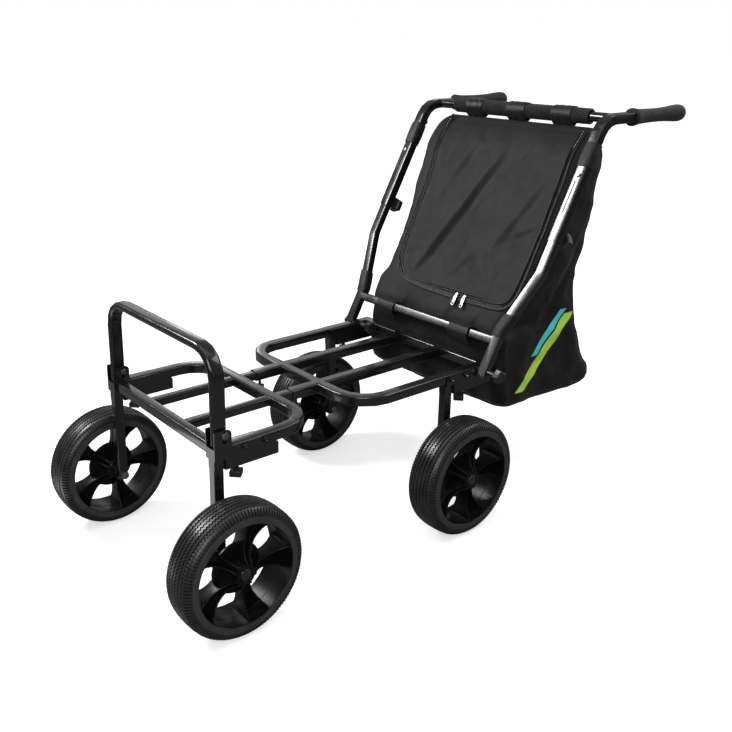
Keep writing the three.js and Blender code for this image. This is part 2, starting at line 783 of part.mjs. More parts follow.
// The bore, the front slot, the button's hole and the clamp screw's hole of one upper tube.
function upperTubeCuts() {
  const front = -upperTubeThickness * half - overrun;
  const bore = tube([v(0, 0, seam - overrun), v(0, 0, boreEnd)], yAxis,
    lowerTubeThickness + tubeGap * 2, lowerTubeWidth + tubeGap * 2, handleTubeCorner);
  const slot = new THREE.BoxGeometry(slotWidth, upperTubeThickness * half, slotEnd - slotStart);
  slot.translate(0, front + upperTubeThickness * quarter, (slotStart + slotEnd) * half);
  const buttonHole = rod("y", snapRadius + turningGap, front, 0, smallSides).translate(0, 0, snapUp);
  const screwHole = rod("y", screwRadius + tubeGap, 0, -front, smallSides).translate(0, 0, clampUp);
  return [bore, slot, buttonHole, screwHole];
}

// Clamp knob: a star head whose screw presses the lower tube through the upper one's rear wall
function clampKnobGeometry() {
  const face = upperTubeThickness * half;
  const head = knobHead(starRadius, starLobeDepth, starLobes, starThickness, starEdge);
  head.rotateX(-Math.PI * half).translate(0, face + clampStem, 0);
  const boss = rod("y", knobStemRadius, face + tubeGap, face + clampStem + overrun, smallSides);
  const tip = rod("y", screwRadius, lowerTubeThickness * half + tubeGap, face + clampStem, smallSides);
  return fuse(head, boss, tip);
}

// Hinge knob: a star head on a sleeve, screwed on the bracket's stud
function hingeKnobGeometry() {
  const head = knobHead(hingeKnobRadius, starLobeDepth, starLobes, starThickness, starEdge);
  head.rotateY(Math.PI * half).translate(hingeStem, 0, 0);
  const bore = rod("x", studRadius + tubeGap, -overrun, studInKnob + overrun, smallSides);
  return carve(fuse(head, rod("x", hingeStemRadius, 0, hingeStem + overrun)), bore);
}

// Hinge nut: a low domed nut on the end of the left stud
function hingeNutGeometry() {
  const bore = studRadius + tubeGap;
  const dome = hingeNutRadius - hingeNutEdge;
  return turned([
    [studInNut + tubeGap, 0], [studInNut + tubeGap, bore], [0, bore], [0, hingeNutRadius],
    [hingeNutLength - hingeNutEdge, hingeNutRadius], [hingeNutLength, dome], [hingeNutLength, 0],
  ]);
}

// Snap button: it shows through the upper tube's front wall
function snapButtonGeometry() {
  const front = -upperTubeThickness * half - snapProud;
  return rod("y", snapRadius, front, front + snapLength, smallSides);
}

// Grip: a moulded sleeve with a flared collar, a waist and a bulbous end, on the spigot.
// Shares of the grip's length, each with the radius there.
const gripShares = [
  [0.002, gripFlareRadius], [0.05, gripFlareRadius], [0.11, gripNeckRadius], [0.33, gripWaistRadius],
  [0.56, gripWaistRadius], [0.74, gripBulbRadius], [0.88, gripBulbRadius], [0.97, gripTipRadius],
];

function gripGeometry() {
  const length = gripEndY - gripStartY;
  const bore = spigotLength + overrun;
  const inside = [[bore, 0], [bore, gripBoreRadius], [tubeGap, gripBoreRadius]];
  const outside = gripShares.map(([share, radius]) => [Math.max(length * share, tubeGap), radius]);
  const profile = [...inside, ...outside, [length, gripTipRadius * half], [length, 0]];
  return new THREE.LatheGeometry(profile.map(([y, radius]) => new THREE.Vector2(radius, y)), roundSides);
}

// Foam sleeve: a ribbed tube on the top bar, smooth under the three hanger loops.
// A list of rings, each [x, radius]; a run of equal radii keeps only its two ends.
function foamRings() {
  const ribs = Math.floor(foamLength / foamPitch);
  const start = -ribs * foamPitch * half;
  const rings = [[start, foamValleyRadius]];
  for (let i = 0; i < ribs; i++) {
    const middle = start + (i + half) * foamPitch;
    const covered = [-1, 0, 1].some((n) => (
      Math.abs(middle - n * hangerSpacing) < hangerWidth * half + foamPitch));
    rings.push([middle - foamPitch * quarter, covered ? foamValleyRadius : foamRidgeRadius]);
    rings.push([middle + foamPitch * quarter, foamValleyRadius]);
  }
  rings.push([-start, foamValleyRadius]);
  const last = rings.length - 1;
  return rings.filter(([, radius], i) => (
    i === 0 || i === last || radius !== rings[i - 1][1] || radius !== rings[i + 1][1]));
}

function foamGeometry() {
  const outer = foamRings();
  const inner = outer.filter((_, i) => i % boreEvery === 0 || i === outer.length - 1);
  const rings = [...outer, ...inner.reverse().map(([x]) => [x, foamBore])];
  const points = [];
  for (const [x, radius] of rings) {
    for (let i = 0; i < foamSides; i++) {
      const angle = (i / foamSides) * Math.PI * 2;
      points.push(x, radius * Math.cos(angle), radius * Math.sin(angle));
    }
  }
  return ringSurface(points, rings.length, foamSides, true);
}

// Faces between rings of points that are listed one ring after another, facing outwards.
function ringSurface(points, rings, sides, endless) {
  const faces = [];
  for (let ring = 0; ring < (endless ? rings : rings - 1); ring++) {
    const here = ring * sides;
    const next = ((ring + 1) % rings) * sides;
    for (let i = 0; i < sides; i++) {
      const j = (i + 1) % sides;
      faces.push(here + i, here + j, next + j, here + i, next + j, next + i);
    }
  }
  const last = (rings - 1) * sides;
  for (let i = 1; i < sides - 1 && !endless; i++) {
    faces.push(0, i + 1, i, last, last + i, last + i + 1);
  }
  const geometry = new THREE.BufferGeometry();
  geometry.setAttribute("position", new THREE.Float32BufferAttribute(points, 3));
  geometry.setIndex(faces);
  return geometry;
}

// Hanger: three fabric loops round the foam, sewn to a hem along the bag's top
function hangerGeometry() {
  const loops = [-1, 0, 1].map((n) => {
    const low = n * hangerSpacing - hangerWidth * half;
    const high = low + hangerWidth;
    return turned([[high, hangerInnerRadius], [low, hangerInnerRadius], [low, hangerOuterRadius],
      [high, hangerOuterRadius], [high, hangerInnerRadius]]);
  });
  const hem = new THREE.BoxGeometry(hemLength, hemThickness, hemHeight);
  hem.translate(0, 0, -hemTop - hemHeight * half);
  const tabTop = (hangerInnerRadius + hangerOuterRadius) * half;
  const tabs = [-1, 0, 1].map((n) => {
    const tab = new THREE.BoxGeometry(hangerWidth, hemThickness, hemTop + overrun - tabTop);
    return tab.translate(n * hangerSpacing, 0, -(hemTop + overrun + tabTop) * half);
  });
  return fuse(...loops, hem, ...tabs);
}

// Fabric sleeve: a band wrapped round a tube, along the given corners
function tubeBand(corners, tubeThickness, tubeWidth, bend) {
  const bore = [tubeThickness + sleeveGap * 2, tubeWidth + sleeveGap * 2];
  const outer = bore.map((size) => size + sleeveThickness * 2);
  const [first, second] = corners;
  const [before, last] = corners.slice(-2);
  const longer = [
    first.clone().addScaledVector(second.clone().sub(first).normalize(), -overrun),
    ...corners.slice(1, -1),
    last.clone().addScaledVector(last.clone().sub(before).normalize(), overrun),
  ];
  return carve(
    tube(corners, yAxis, ...outer, handleTubeCorner * 2, bend),
    tube(longer, yAxis, ...bore, handleTubeCorner, bend),
  );
}

function upperSleeveGeometry() {
  return tubeBand([v(0, 0, upperSleeveStart), v(0, 0, upperSleeveEnd)],
    upperTubeThickness, upperTubeWidth, topBend);
}

// Bag: level sections, each a share of the bag's height, how far the front and the rear lie
// behind the handle's plane, and how far the sides lie inside the handle's upper tubes: front left,
// front right, rear left and rear right.
const bagSections = [
  [0, 151.8, 375.8, 76, 76, 70, 72],
  [0.018, 109.8, 409.8, 60, 52, 46, 44],
  [0.06, 86.2, 402.2, 54, 42, 39, 35],
  [0.109, 68.8, 363.8, 55, 42, 38, 33],
  [0.261, 18.6, 278.6, 67, 46, 36, 33],
  [0.304, 7.5, 262.5, 66, 60, 36, 33],
  [0.357, 7, 242, 64, 52, 35, 32],
  [0.404, 6.8, 220.8, 78, 45, 34, 30],
  [0.481, 7.1, 187.1, 80, 32, 33, 27],
  [0.556, 6.6, 173.6, 78, 28, 30, 24],
  [0.67, 7, 148, 66, 30, 28, 23],
  [0.819, 9.9, 113.9, 45, 35, 27, 23],
  [0.915, 16.3, 106.3, 32, 39, 31, 30],
  [0.961, 29, 87, 34, 44, 35, 38],
  [1, 42.3, 64.3, 56, 56, 56, 56],
];
const flapBottomShare = bagSections[7][0];
const flapTopShare = bagSections[13][0];
const bagCornerShare = 0.08;
const bagSideShare = 0.2;

function bagHeight(share) {
  return bagBottom + (bagTop - bagBottom) * share;
}

function behindHandle(z, distance) {
  return pivotY + (z - pivotZ) * Math.tan(lean) + distance;
}

function bagPanelGeometry() {
  const points = [];
  for (const [share, frontBack, rearBack, ...insets] of bagSections) {
    const [frontLeft, frontRight, rearLeft, rearRight] = insets.map((inset) => handleSpacing * half - inset);
    const z = bagHeight(share);
    const front = behindHandle(z, frontBack);
    const rear = behindHandle(z, rearBack);
    const middle = (front + rear) * half;
    const turn = (middle - front) * bagSideShare;
    const side = (frontHalf, rearHalf) => [
      [frontHalf * (1 - bagCornerShare), front], [frontHalf, front + turn],
      [(frontHalf + rearHalf) * half, middle],
      [rearHalf, rear - turn], [rearHalf * (1 - bagCornerShare), rear],
    ];
    for (const [x, y] of side(frontRight, rearRight)) points.push(x, y, z);
    for (const [x, y] of side(frontLeft, rearLeft).reverse()) points.push(-x, y, z);
  }
  return ringSurface(points, bagSections.length, points.length / 3 / bagSections.length, false);
}

// The band round each lower tube, with the tab that joins it to the bag.
function lowerBandGeometry(side) {
  const near = v(side * hingeSpacing * half, 0, lowerSleeveStart);
  const bendPoint = near.clone().setZ(splayStart);
  const share = (lowerSleeveEnd - splayStart) / (splayEnd - splayStart);
  const far = bendPoint.clone().lerp(v(side * handleSpacing * half, 0, splayEnd), share);
  const band = tubeBand([near, bendPoint, far], lowerTubeThickness, lowerTubeWidth, splayBend);
  const tab = new THREE.BoxGeometry(hingeSpacing * half - tabInner, sleeveThickness,
    lowerSleeveEnd - splayStart);
  const x = side * (hingeSpacing * half + tabInner) * half;
  const y = lowerTubeThickness * half + sleeveGap + sleeveThickness * half;
  return fuse(band, tab.translate(x, y, (lowerSleeveEnd + splayStart) * half));
}

// A loop round the handle's lower bar, thickened at the back where it joins the bag.
function barLoopGeometry(x) {
  const bore = [lowerTubeThickness + sleeveGap * 2, crossbarThickness + sleeveGap * 2];
  const outer = bore.map((size) => size + sleeveThickness * 2);
  const loop = new THREE.BoxGeometry(barLoopWidth, outer[0] + barLoopBack, outer[1]);
  const hole = new THREE.BoxGeometry(barLoopWidth + overrun * 2, ...bore);
  return carve(loop.translate(0, barLoopBack * half, 0), hole).translate(x, 0, crossbarUp);
}

function bagGeometry() {
  const fittings = [lowerBandGeometry(1), lowerBandGeometry(-1),
    barLoopGeometry(barLoopOffset), barLoopGeometry(-barLoopOffset)];
  for (const fitting of fittings) fitting.rotateX(-lean).translate(0, pivotY, pivotZ);
  return fuse(bagPanelGeometry(), ...fittings);
}

// Bag flap: a panel that lies on the bag's front, zipped round three edges and hinged at the top
function flapGeometry() {
  const covered = bagSections.filter(([share]) => share >= flapBottomShare && share <= flapTopShare);
  const edge = covered.map(([share, frontBack]) => {
    const z = bagHeight(share);
    return [behindHandle(z, frontBack) - sleeveGap, z];
  });
  const outline = [...edge, ...edge.slice().reverse().map(([y, z]) => [y - flapThickness, z])];
  return plateYZ(outline, flapLeft, flapRight);
}

// Zip pull: a slim metal tab
function pullGeometry() {
  const pull = new THREE.BoxGeometry(pullWidth, pullThickness, pullLength);
  return pull.translate(0, pullFront + pullThickness * half, pullUp + pullLength * half);
}

// The pieces of one wheel station, about the wheel's centre.
function wheelPieces(place) {
  const wheel = new THREE.Group();
  wheel.add(mesh(`tyre_${place}`, tyreGeometry(), tyreFoam));
  wheel.add(mesh(`rim_${place}`, rimGeometry(), blackPlastic));
  wheel.add(mesh(`hub_bush_${place}`, bushGeometry(), blackPlastic));
  wheel.add(mesh(`axle_${place}`, axleGeometry(), brightSteel));
  wheel.add(mesh(`release_button_${place}`, releaseButtonGeometry(), glossPlastic));
  return wheel;
}

// One corner of the trolley: a bracket with its leg, wing screw and wheel.
function cornerPieces(end, hand) {
  const place = `${end}_${hand}`;
  const corner = new THREE.Group();
  const mount = new THREE.Group();
  mount.position.x = railX;
  mount.add(mesh(`bracket_${place}`, bracketGeometry(end === "front", hand), blackPaint));
  mount.add(mesh(`leg_${place}`, legGeometry(), blackPaint));
  const screw = mesh(`wing_screw_${place}`, wingScrewGeometry(), blackPlastic);
  screw.position.y = wingScrewBehindLeg;
  mount.add(screw);
  const wheel = wheelPieces(place);
  wheel.position.set(wheelTrack * half, 0, wheelRadius);
  corner.add(mount, wheel);
  corner.position.y = end === "front" ? -legY : legY;
  return corner;
}

// The pieces that the two sides of the handle share, in the handle's own frame.
function handleSide(hand) {
  const side = new THREE.Group();
  const hingeKnob = mesh(`hinge_knob_${hand}`, hingeKnobGeometry(), blackPlastic);
  const outerFace = (hingeSpacing + lowerTubeWidth) * half + tubeGap;
  if (hand === "right") {
    hingeKnob.position.x = outerFace;
  } else {
    hingeKnob.position.x = railX - cheekOuter - tubeGap;
    hingeKnob.rotation.y = Math.PI;
    const nut = mesh("hinge_nut_left", hingeNutGeometry(), brightSteel);
    nut.position.x = outerFace;
    side.add(nut);
  }
  const clampKnob = mesh(`clamp_knob_${hand}`, clampKnobGeometry(), blackPlastic);
  clampKnob.position.set(handleSpacing * half, 0, clampUp);
  const button = mesh(`snap_button_${hand}`, snapButtonGeometry(), brightSteel);
  button.position.set(handleSpacing * half, 0, snapUp);
  const sleeve = mesh(`tube_sleeve_${hand}`, upperSleeveGeometry(), bagFabric);
  sleeve.position.x = handleSpacing * half;
  side.add(hingeKnob, clampKnob, button, sleeve);
  return side;
}

const trolley = new THREE.Group();
trolley.position.y = -originY;
trolley.add(mesh("front_frame", frontFrameGeometry(), blackPaint));
trolley.add(mesh("rear_frame", rearFrameGeometry(), blackPaint));
trolley.add(mesh("hoop", hoopGeometry(), blackPaint));
trolley.add(mesh("bag_body", bagGeometry(), bagFabric));
trolley.add(mesh("bag_flap", flapGeometry(), bagFabric));

const handle = new THREE.Group();
handle.position.set(0, pivotY, pivotZ);
handle.rotation.x = -lean;
handle.add(mesh("handle_lower_frame", lowerHandleGeometry(), blackPaint));
handle.add(mesh("handle_upper_frame", upperHandleGeometry(), blackPaint));
for (const [hand, x] of Object.entries(pullPlaces)) {
  const pull = mesh(`zip_pull_${hand}`, pullGeometry(), brightSteel);
  pull.position.x = x;
  handle.add(pull);
}

const topBar = new THREE.Group();
topBar.position.set(0, Math.cos(lean) * topBarBack, bendCorner + Math.sin(lean) * topBarBack);
topBar.rotation.x = lean;
topBar.add(mesh("foam_sleeve", foamGeometry(), gripFoam));
topBar.add(mesh("bag_hanger", hangerGeometry(), bagFabric));
handle.add(topBar);
trolley.add(handle);

for (const [hand, scale] of [["right", 1], ["left", -1]]) {
  const side = new THREE.Group();
  side.scale.x = scale;
  for (const end of ["front", "rear"]) side.add(cornerPieces(end, hand));
  const bolt = mesh(`hoop_bolt_${hand}`, hoopBoltGeometry(), brightSteel);
  bolt.position.set(railX, hoopBoltY, hoopBoltZ);
  const screw = mesh(`platform_screw_${hand}`, platformScrewGeometry(), blackPlastic);
  screw.position.set(innerRailSpacing * half, slideSeam + platformScrewInset, 0);
  const grip = mesh(`grip_${hand}`, gripGeometry(), gripFoam);
  grip.position.set(handleSpacing * half, gripStartY, pivotZ + bendCorner * Math.cos(lean));
  side.add(bolt, screw, grip);
  trolley.add(side);

  const handleHalf = handleSide(hand);
  handleHalf.scale.x = scale;
  handle.add(handleHalf);
}

export default trolley;
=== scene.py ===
import bmesh
import bpy
import math
from mathutils import Matrix, Vector, noise


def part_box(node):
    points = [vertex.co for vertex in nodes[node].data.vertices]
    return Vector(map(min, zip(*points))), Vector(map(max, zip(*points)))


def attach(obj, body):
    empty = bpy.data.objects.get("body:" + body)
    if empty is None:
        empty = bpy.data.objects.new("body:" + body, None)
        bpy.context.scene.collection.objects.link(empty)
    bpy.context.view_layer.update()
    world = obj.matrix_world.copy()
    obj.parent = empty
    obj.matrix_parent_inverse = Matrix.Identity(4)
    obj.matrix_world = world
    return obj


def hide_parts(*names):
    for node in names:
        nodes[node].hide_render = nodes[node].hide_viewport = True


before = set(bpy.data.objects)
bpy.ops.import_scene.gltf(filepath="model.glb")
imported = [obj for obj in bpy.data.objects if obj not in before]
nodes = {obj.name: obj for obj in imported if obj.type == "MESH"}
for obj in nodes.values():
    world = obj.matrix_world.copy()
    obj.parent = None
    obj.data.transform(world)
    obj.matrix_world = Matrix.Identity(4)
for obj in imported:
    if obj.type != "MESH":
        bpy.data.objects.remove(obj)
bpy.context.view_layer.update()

# The platform, brackets, legs, hoop and handle tubes are mild steel, cut, bent and welded, then
# powder coated black in one coat. The coat is glossy with a little orange peel, and dust settles
# on what faces up. Their CAD solids are carried over with eased edges.
MM = 0.001
PAINT_COLOUR = (0.007, 0.007, 0.0075, 1)
PAINT_DUST_COLOUR = (0.03, 0.029, 0.028, 1)
PAINT_EDGE = 0.7 * MM
PAINT_SHARP = math.radians(60)
TUBE_SHARP = math.radians(40)
WELD_REACH = 0.01 * MM
EDGE_STEPS = 2
FACE_WEIGHT = 80


def new_effect(name, inputs, outputs):
    """A shader node group with its sockets, and its input and output nodes."""
    group = bpy.data.node_groups.new(name, "ShaderNodeTree")
    for label, value in inputs.items():
        group.interface.new_socket(label, in_out="INPUT", socket_type="NodeSocketFloat").default_value = value
    for label, kind in outputs.items():
        group.interface.new_socket(label, in_out="OUTPUT", socket_type="NodeSocket" + kind)
    return group, group.nodes.new("NodeGroupInput"), group.nodes.new("NodeGroupOutput")


def add(tree, kind, **values):
    """A shader node with its settings, or the values of its sockets."""
    node = tree.nodes.new("ShaderNode" + kind)
    for key, value in values.items():
        if hasattr(node, key):
            setattr(node, key, value)
        else:
            node.inputs[key.replace("_", " ")].default_value = value
    return node


def maths(tree, operation, first, second=0.0, clamp=False):
    """The output of a maths node on two sockets or numbers."""
    node = add(tree, "Math", operation=operation, use_clamp=clamp)
    for socket, value in zip(node.inputs, (first, second)):
        if isinstance(value, (int, float)):
            socket.default_value = value
        else:
            tree.links.new(value, socket)
    return node.outputs[0]


def ranged(tree, value, low, high, to_low=0.0, to_high=1.0):
    node = add(tree, "MapRange", From_Min=low, From_Max=high, To_Min=to_low, To_Max=to_high)
    tree.links.new(value, node.inputs["Value"])
    return node.outputs["Result"]


def noisy(tree, scale, detail=2.0, rough=0.5, vector=None):
    """Noise over the object's own coordinates; scale is a number or a socket."""
    node = add(tree, "TexNoise", Detail=detail, Roughness=rough)
    tree.links.new(vector or add(tree, "TexCoord").outputs["Object"], node.inputs["Vector"])
    if isinstance(scale, (int, float)):
        node.inputs["Scale"].default_value = scale
    else:
        tree.links.new(scale, node.inputs["Scale"])
    return node.outputs["Fac"]


def blended(tree, share, first, second):
    """A colour between two, by a share."""
    node = add(tree, "Mix", data_type="RGBA")
    tree.links.new(share, node.inputs["Factor"])
    for socket, colour in ((node.inputs[6], first), (node.inputs[7], second)):
        if isinstance(colour, tuple):
            socket.default_value = colour
        else:
            tree.links.new(colour, socket)
    return node.outputs[2]


def new_finish(name, **shader_values):
    """A material with its Principled shader."""
    finish = bpy.data.materials.new(name)
    finish.use_nodes = True
    shader = finish.node_tree.nodes["Principled BSDF"]
    for key, value in shader_values.items():
        shader.inputs[key.replace("_", " ")].default_value = value
    return finish, finish.node_tree, shader


def bumped(tree, shader, height, strength, distance):
    node = add(tree, "Bump", Strength=strength, Distance=distance)
    tree.links.new(height, node.inputs["Height"])
    tree.links.new(node.outputs["Normal"], shader.inputs["Normal"])


def use_effect(tree, group, **values):
    node = add(tree, "Group", node_tree=group)
    for key, value in values.items():
        node.inputs[key].default_value = value
    return node


# Dust and handling: a mask of fine dust on what faces up, and one of smudges.
handling, inside, outside = new_effect(
    "handling", {"Size": 60.0, "Cover": 0.5}, {"Dust": "Float", "Smudge": "Float"}
)
facing = add(handling, "SeparateXYZ")
handling.links.new(add(handling, "NewGeometry").outputs["Normal"], facing.inputs[0])
upward = ranged(handling, facing.outputs["Z"], 0.55, 1.0)
specks = ranged(handling, noisy(handling, inside.outputs["Size"], 6.0, 0.7), 0.42, 0.75)
settled = maths(handling, "MULTIPLY", upward, specks)
handling.links.new(maths(handling, "MULTIPLY", settled, inside.outputs["Cover"]), outside.inputs["Dust"])
patches = noisy(handling, maths(handling, "MULTIPLY", inside.outputs["Size"], 0.3), 3.0, 0.6)
handling.links.new(ranged(handling, patches, 0.35, 0.7), outside.inputs["Smudge"])

# Fine grain: the small relief of a moulded, painted or cast skin.
grain, inside, outside = new_effect("grain", {"Size": 900.0, "Broad": 0.3}, {"Height": "Float"})
fine = noisy(grain, inside.outputs["Size"], 3.0, 0.55)
broad = noisy(grain, maths(grain, "MULTIPLY", inside.outputs["Size"], 0.12), 2.0, 0.5)
swell = maths(grain, "MULTIPLY", broad, inside.outputs["Broad"])
grain.links.new(maths(grain, "ADD", fine, swell), outside.inputs["Height"])


def handled_finish(name, mask, colours, roughness, marked, grained, bump, **shader_values):
    """A painted or moulded finish. Dust or smudges (the mask) lie between its two colours, over a
    grain: marked is their size and cover, grained its size and swell, bump its strength and depth."""
    finish, tree, shader = new_finish(name, **shader_values)
    marks = use_effect(tree, handling, Size=marked[0], Cover=marked[1])
    tree.links.new(blended(tree, marks.outputs[mask], *colours), shader.inputs["Base Color"])
    tree.links.new(ranged(tree, marks.outputs["Smudge"], 0.0, 1.0, *roughness), shader.inputs["Roughness"])
    relief = use_effect(tree, grain, Size=grained[0], Broad=grained[1])
    bumped(tree, shader, relief.outputs["Height"], bump[0], bump[1] * MM)
    return finish


paint = handled_finish(
    "black_paint", "Dust", (PAINT_COLOUR, PAINT_DUST_COLOUR), roughness=(0.17, 0.27), marked=(70.0, 0.35),
    grained=(420.0, 1.6), bump=(0.018, 0.3), Coat_Weight=0.4, Coat_Roughness=0.08, Specular_IOR_Level=0.55,
)


def ease_edges(piece, width, sharp):
    """Joins a CAD node's loose triangles and rounds its edges, as the paint does."""
    piece.data.shade_smooth()
    weld = piece.modifiers.new("weld", "WELD")
    weld.merge_threshold = WELD_REACH
    bevel = piece.modifiers.new("ease", "BEVEL")
    bevel.width = width
    bevel.segments = EDGE_STEPS
    bevel.limit_method = "ANGLE"
    bevel.angle_limit = sharp
    bevel.harden_normals = False
    normals = piece.modifiers.new("normals", "WEIGHTED_NORMAL")
    normals.weight = FACE_WEIGHT
    normals.keep_sharp = True


def carried_over(prefix, finish, width, sharp):
    for name, node in nodes.items():
        if name.startswith(prefix):
            node.data.materials.clear()
            node.data.materials.append(finish)
            ease_edges(node, width, sharp)


for prefix in ("front_frame", "rear_frame", "hoop", "leg_", "bracket_"):
    carried_over(prefix, paint, PAINT_EDGE, PAINT_SHARP)
carried_over("handle_", paint, PAINT_EDGE, TUBE_SHARP)

# Bolts, nuts, axles and the sprung buttons are zinc-plated steel, turned or cold headed, with the
# faint cloudy colour of the plating. They are carried over with eased edges.
ZINC_COLOUR = (0.33, 0.33, 0.32, 1)
ZINC_CLOUD_COLOUR = (0.19, 0.185, 0.175, 1)
ZINC_EDGE = 0.35 * MM
MOULDED_SHARP = math.radians(32)

zinc, tree, shader = new_finish("zinc_plated_steel", Metallic=1.0)
cloud = ranged(tree, noisy(tree, 260.0, 4.0, 0.6), 0.35, 0.7)
tree.links.new(blended(tree, cloud, ZINC_COLOUR, ZINC_CLOUD_COLOUR), shader.inputs["Base Color"])
tree.links.new(ranged(tree, cloud, 0.0, 1.0, 0.22, 0.42), shader.inputs["Roughness"])
bumped(tree, shader, use_effect(tree, grain, Size=1600.0).outputs["Height"], 0.1, 0.2 * MM)
for prefix in ("hoop_bolt_", "axle_", "snap_button_", "hinge_nut_"):
    carried_over(prefix, zinc, ZINC_EDGE, MOULDED_SHARP)

# Screw heads, bushes and knobs are injection-moulded in black nylon. Their skin is matt from the
# mould's spark grain, and a little paler where hands smudge it.
NYLON_COLOUR = (0.010, 0.010, 0.011, 1)
NYLON_WORN_COLOUR = (0.024, 0.024, 0.025, 1)

nylon = handled_finish(
    "moulded_nylon", "Smudge", (NYLON_COLOUR, NYLON_WORN_COLOUR), roughness=(0.30, 0.44), marked=(120.0, 0.5),
    grained=(1500.0, 0.6), bump=(0.22, 0.3), Specular_IOR_Level=0.6,
)
for prefix in ("platform_screw_", "hub_bush_"):
    carried_over(prefix, nylon, ZINC_EDGE, MOULDED_SHARP)

# The tyres are moulded on the rims in black foam rubber. Six wavy grooves run round the crown,
# short ribs stand round each shoulder, and a smooth band meets the rim's lip.
WHEEL_STATIONS = {
    "front_right": (255, -561, 130, 1), "rear_right": (255, 21, 130, 1),
    "front_left": (-255, -561, 130, -1), "rear_left": (-255, 21, 130, -1),
}
TYRE_STEPS = 236
GROOVES = (4.5, 13.5, 22.5)
GROOVE_DEPTH = 3.6
GROOVE_WAVE = 3.2
GROOVE_HALF = 1.9
GROOVE_FLOOR = 1.1
GROOVE_LIP, GROOVE_SLACK = 0.05, 0.1
TREAD_INSIDE = 124
RIB_BAND = (29.7, 37.2)
RIB_DEPTH, RIB_DRAFT = 3.6, 0.3
RIB_INSIDE = 115.2
CROWN = [(0, 130), (9, 129.8), (18, 129.1), (27, 127.2)]
SHOULDER = [
    (29.6, 126.0), (30.5, 125.4), (33.6, 122.7), (35.8, 119.4), (36.9, 116.6), (37.4, 115.0), (37.5, 113.6),
    (37.2, 113.1),
]
SEAT = [(33.3, 113.1), (33.1, 105.7)]
RUBBER_COLOUR = (0.016, 0.016, 0.0155, 1)
RUBBER_PALE_COLOUR = (0.032, 0.031, 0.029, 1)


def between(points, x):
    """The second value at x on a line of points."""
    for (x0, y0), (x1, y1) in zip(points, points[1:]):
        if x0 <= x <= x1:
            return y0 + (y1 - y0) * (x - x0) / (x1 - x0)
    return points[-1][1] if x > points[-1][0] else points[0][1]


def deselect():
    if bpy.context.mode != "OBJECT":
        bpy.ops.object.mode_set(mode="OBJECT")
    bpy.ops.object.select_all(action="DESELECT")


def make_active(*pieces):
    """Selects these pieces only; the last is the active one."""
    deselect()
    for piece in pieces:
        piece.select_set(True)
    bpy.context.view_layer.objects.active = pieces[-1]


def outline_ring(name, points):
    """A closed outline: a circle primitive whose points are set out at (x, radius)."""
    deselect()
    bpy.ops.mesh.primitive_circle_add(vertices=len(points), radius=MM)
    piece = bpy.context.object
    piece.name = name
    for vertex, (x, radius) in zip(piece.data.vertices, points):
        vertex.co = (x * MM, 0, radius * MM)
    return piece


def tidy_mesh():
    """In edit mode: merges doubles, drops what that flattens, and turns all faces outwards."""
    bpy.ops.mesh.select_all(action="SELECT")
    bpy.ops.mesh.remove_doubles(threshold=WELD_REACH)
    bpy.ops.mesh.dissolve_degenerate(threshold=WELD_REACH)
    bpy.ops.mesh.select_all(action="SELECT")
    bpy.ops.mesh.normals_make_consistent(inside=False)


def spun(name, points, steps):
    """An outline of (x, radius) spun once round the X axis."""
    piece = outline_ring(name, points)
    bpy.ops.object.mode_set(mode="EDIT")
    bpy.ops.mesh.select_all(action="SELECT")
    bpy.ops.mesh.spin(steps=steps, angle=math.tau, center=(0, 0, 0), axis=(1, 0, 0))
    tidy_mesh()
    bpy.ops.object.mode_set(mode="OBJECT")
    return piece


def pick_faces(piece, test):
    """In edit mode: selects the faces whose centre and normal pass the test."""
    mesh = bmesh.from_edit_mesh(piece.data)
    bpy.ops.mesh.select_all(action="DESELECT")
    bpy.context.tool_settings.mesh_select_mode = (False, False, True)
    for face in mesh.faces:
        if test(face.calc_center_median() / MM, face.normal):
            face.select_set(True)
    bmesh.update_edit_mesh(piece.data)


def pick_points(piece, test):
    """In edit mode: selects the points that pass the test."""
    mesh = bmesh.from_edit_mesh(piece.data)
    bpy.ops.mesh.select_all(action="DESELECT")
    bpy.context.tool_settings.mesh_select_mode = (True, False, False)
    for vertex in mesh.verts:
        if test(vertex.co / MM):
            vertex.select_set(True)
    mesh.select_flush_mode()
    bmesh.update_edit_mesh(piece.data)


def step_of(point, steps):
    """How many steps round the axis a point lies."""
    return (math.atan2(point.y, point.z) % math.tau) / math.tau * steps


def from_axis(point):
    return math.hypot(point.y, point.z)


def dress(piece, finish, angle):
    """Gives a piece its finish, smooth but for the edges that are sharper than the angle."""
    piece.data.materials.clear()
    piece.data.materials.append(finish)
    make_active(piece)
    bpy.ops.object.shade_smooth_by_angle(angle=math.radians(angle))


def copied(piece, name, matrix):
    """A copy with its own mesh, moved into place in its mesh."""
    copy = piece.copy()
    copy.data = piece.data.copy()
    copy.name = name
    copy.data.transform(matrix)
    if matrix.determinant() < 0:
        copy.data.flip_normals()
    bpy.context.scene.collection.objects.link(copy)
    return copy


def sided(place):
    """The matrix from a wheel's own axis to its station, mirrored on the left."""
    x, y, z, side = WHEEL_STATIONS[place]
    return Matrix.Translation(Vector((x, y, z)) * MM) @ Matrix.Diagonal((side, 1, 1, 1))


def in_wave(point):
    """Whether a groove's point is one of those that its wave moves."""
    in_groove = any(abs(abs(point.x) - groove) < GROOVE_HALF + GROOVE_SLACK for groove in GROOVES)
    return from_axis(point) > TREAD_INSIDE and in_groove and round(step_of(point, TYRE_STEPS)) % 2 == 1


def between_ribs(centre, normal):
    in_band = RIB_BAND[0] < abs(centre.x) < RIB_BAND[1] and from_axis(centre) > RIB_INSIDE
    return in_band and int(step_of(centre, TYRE_STEPS)) % 2 == 0


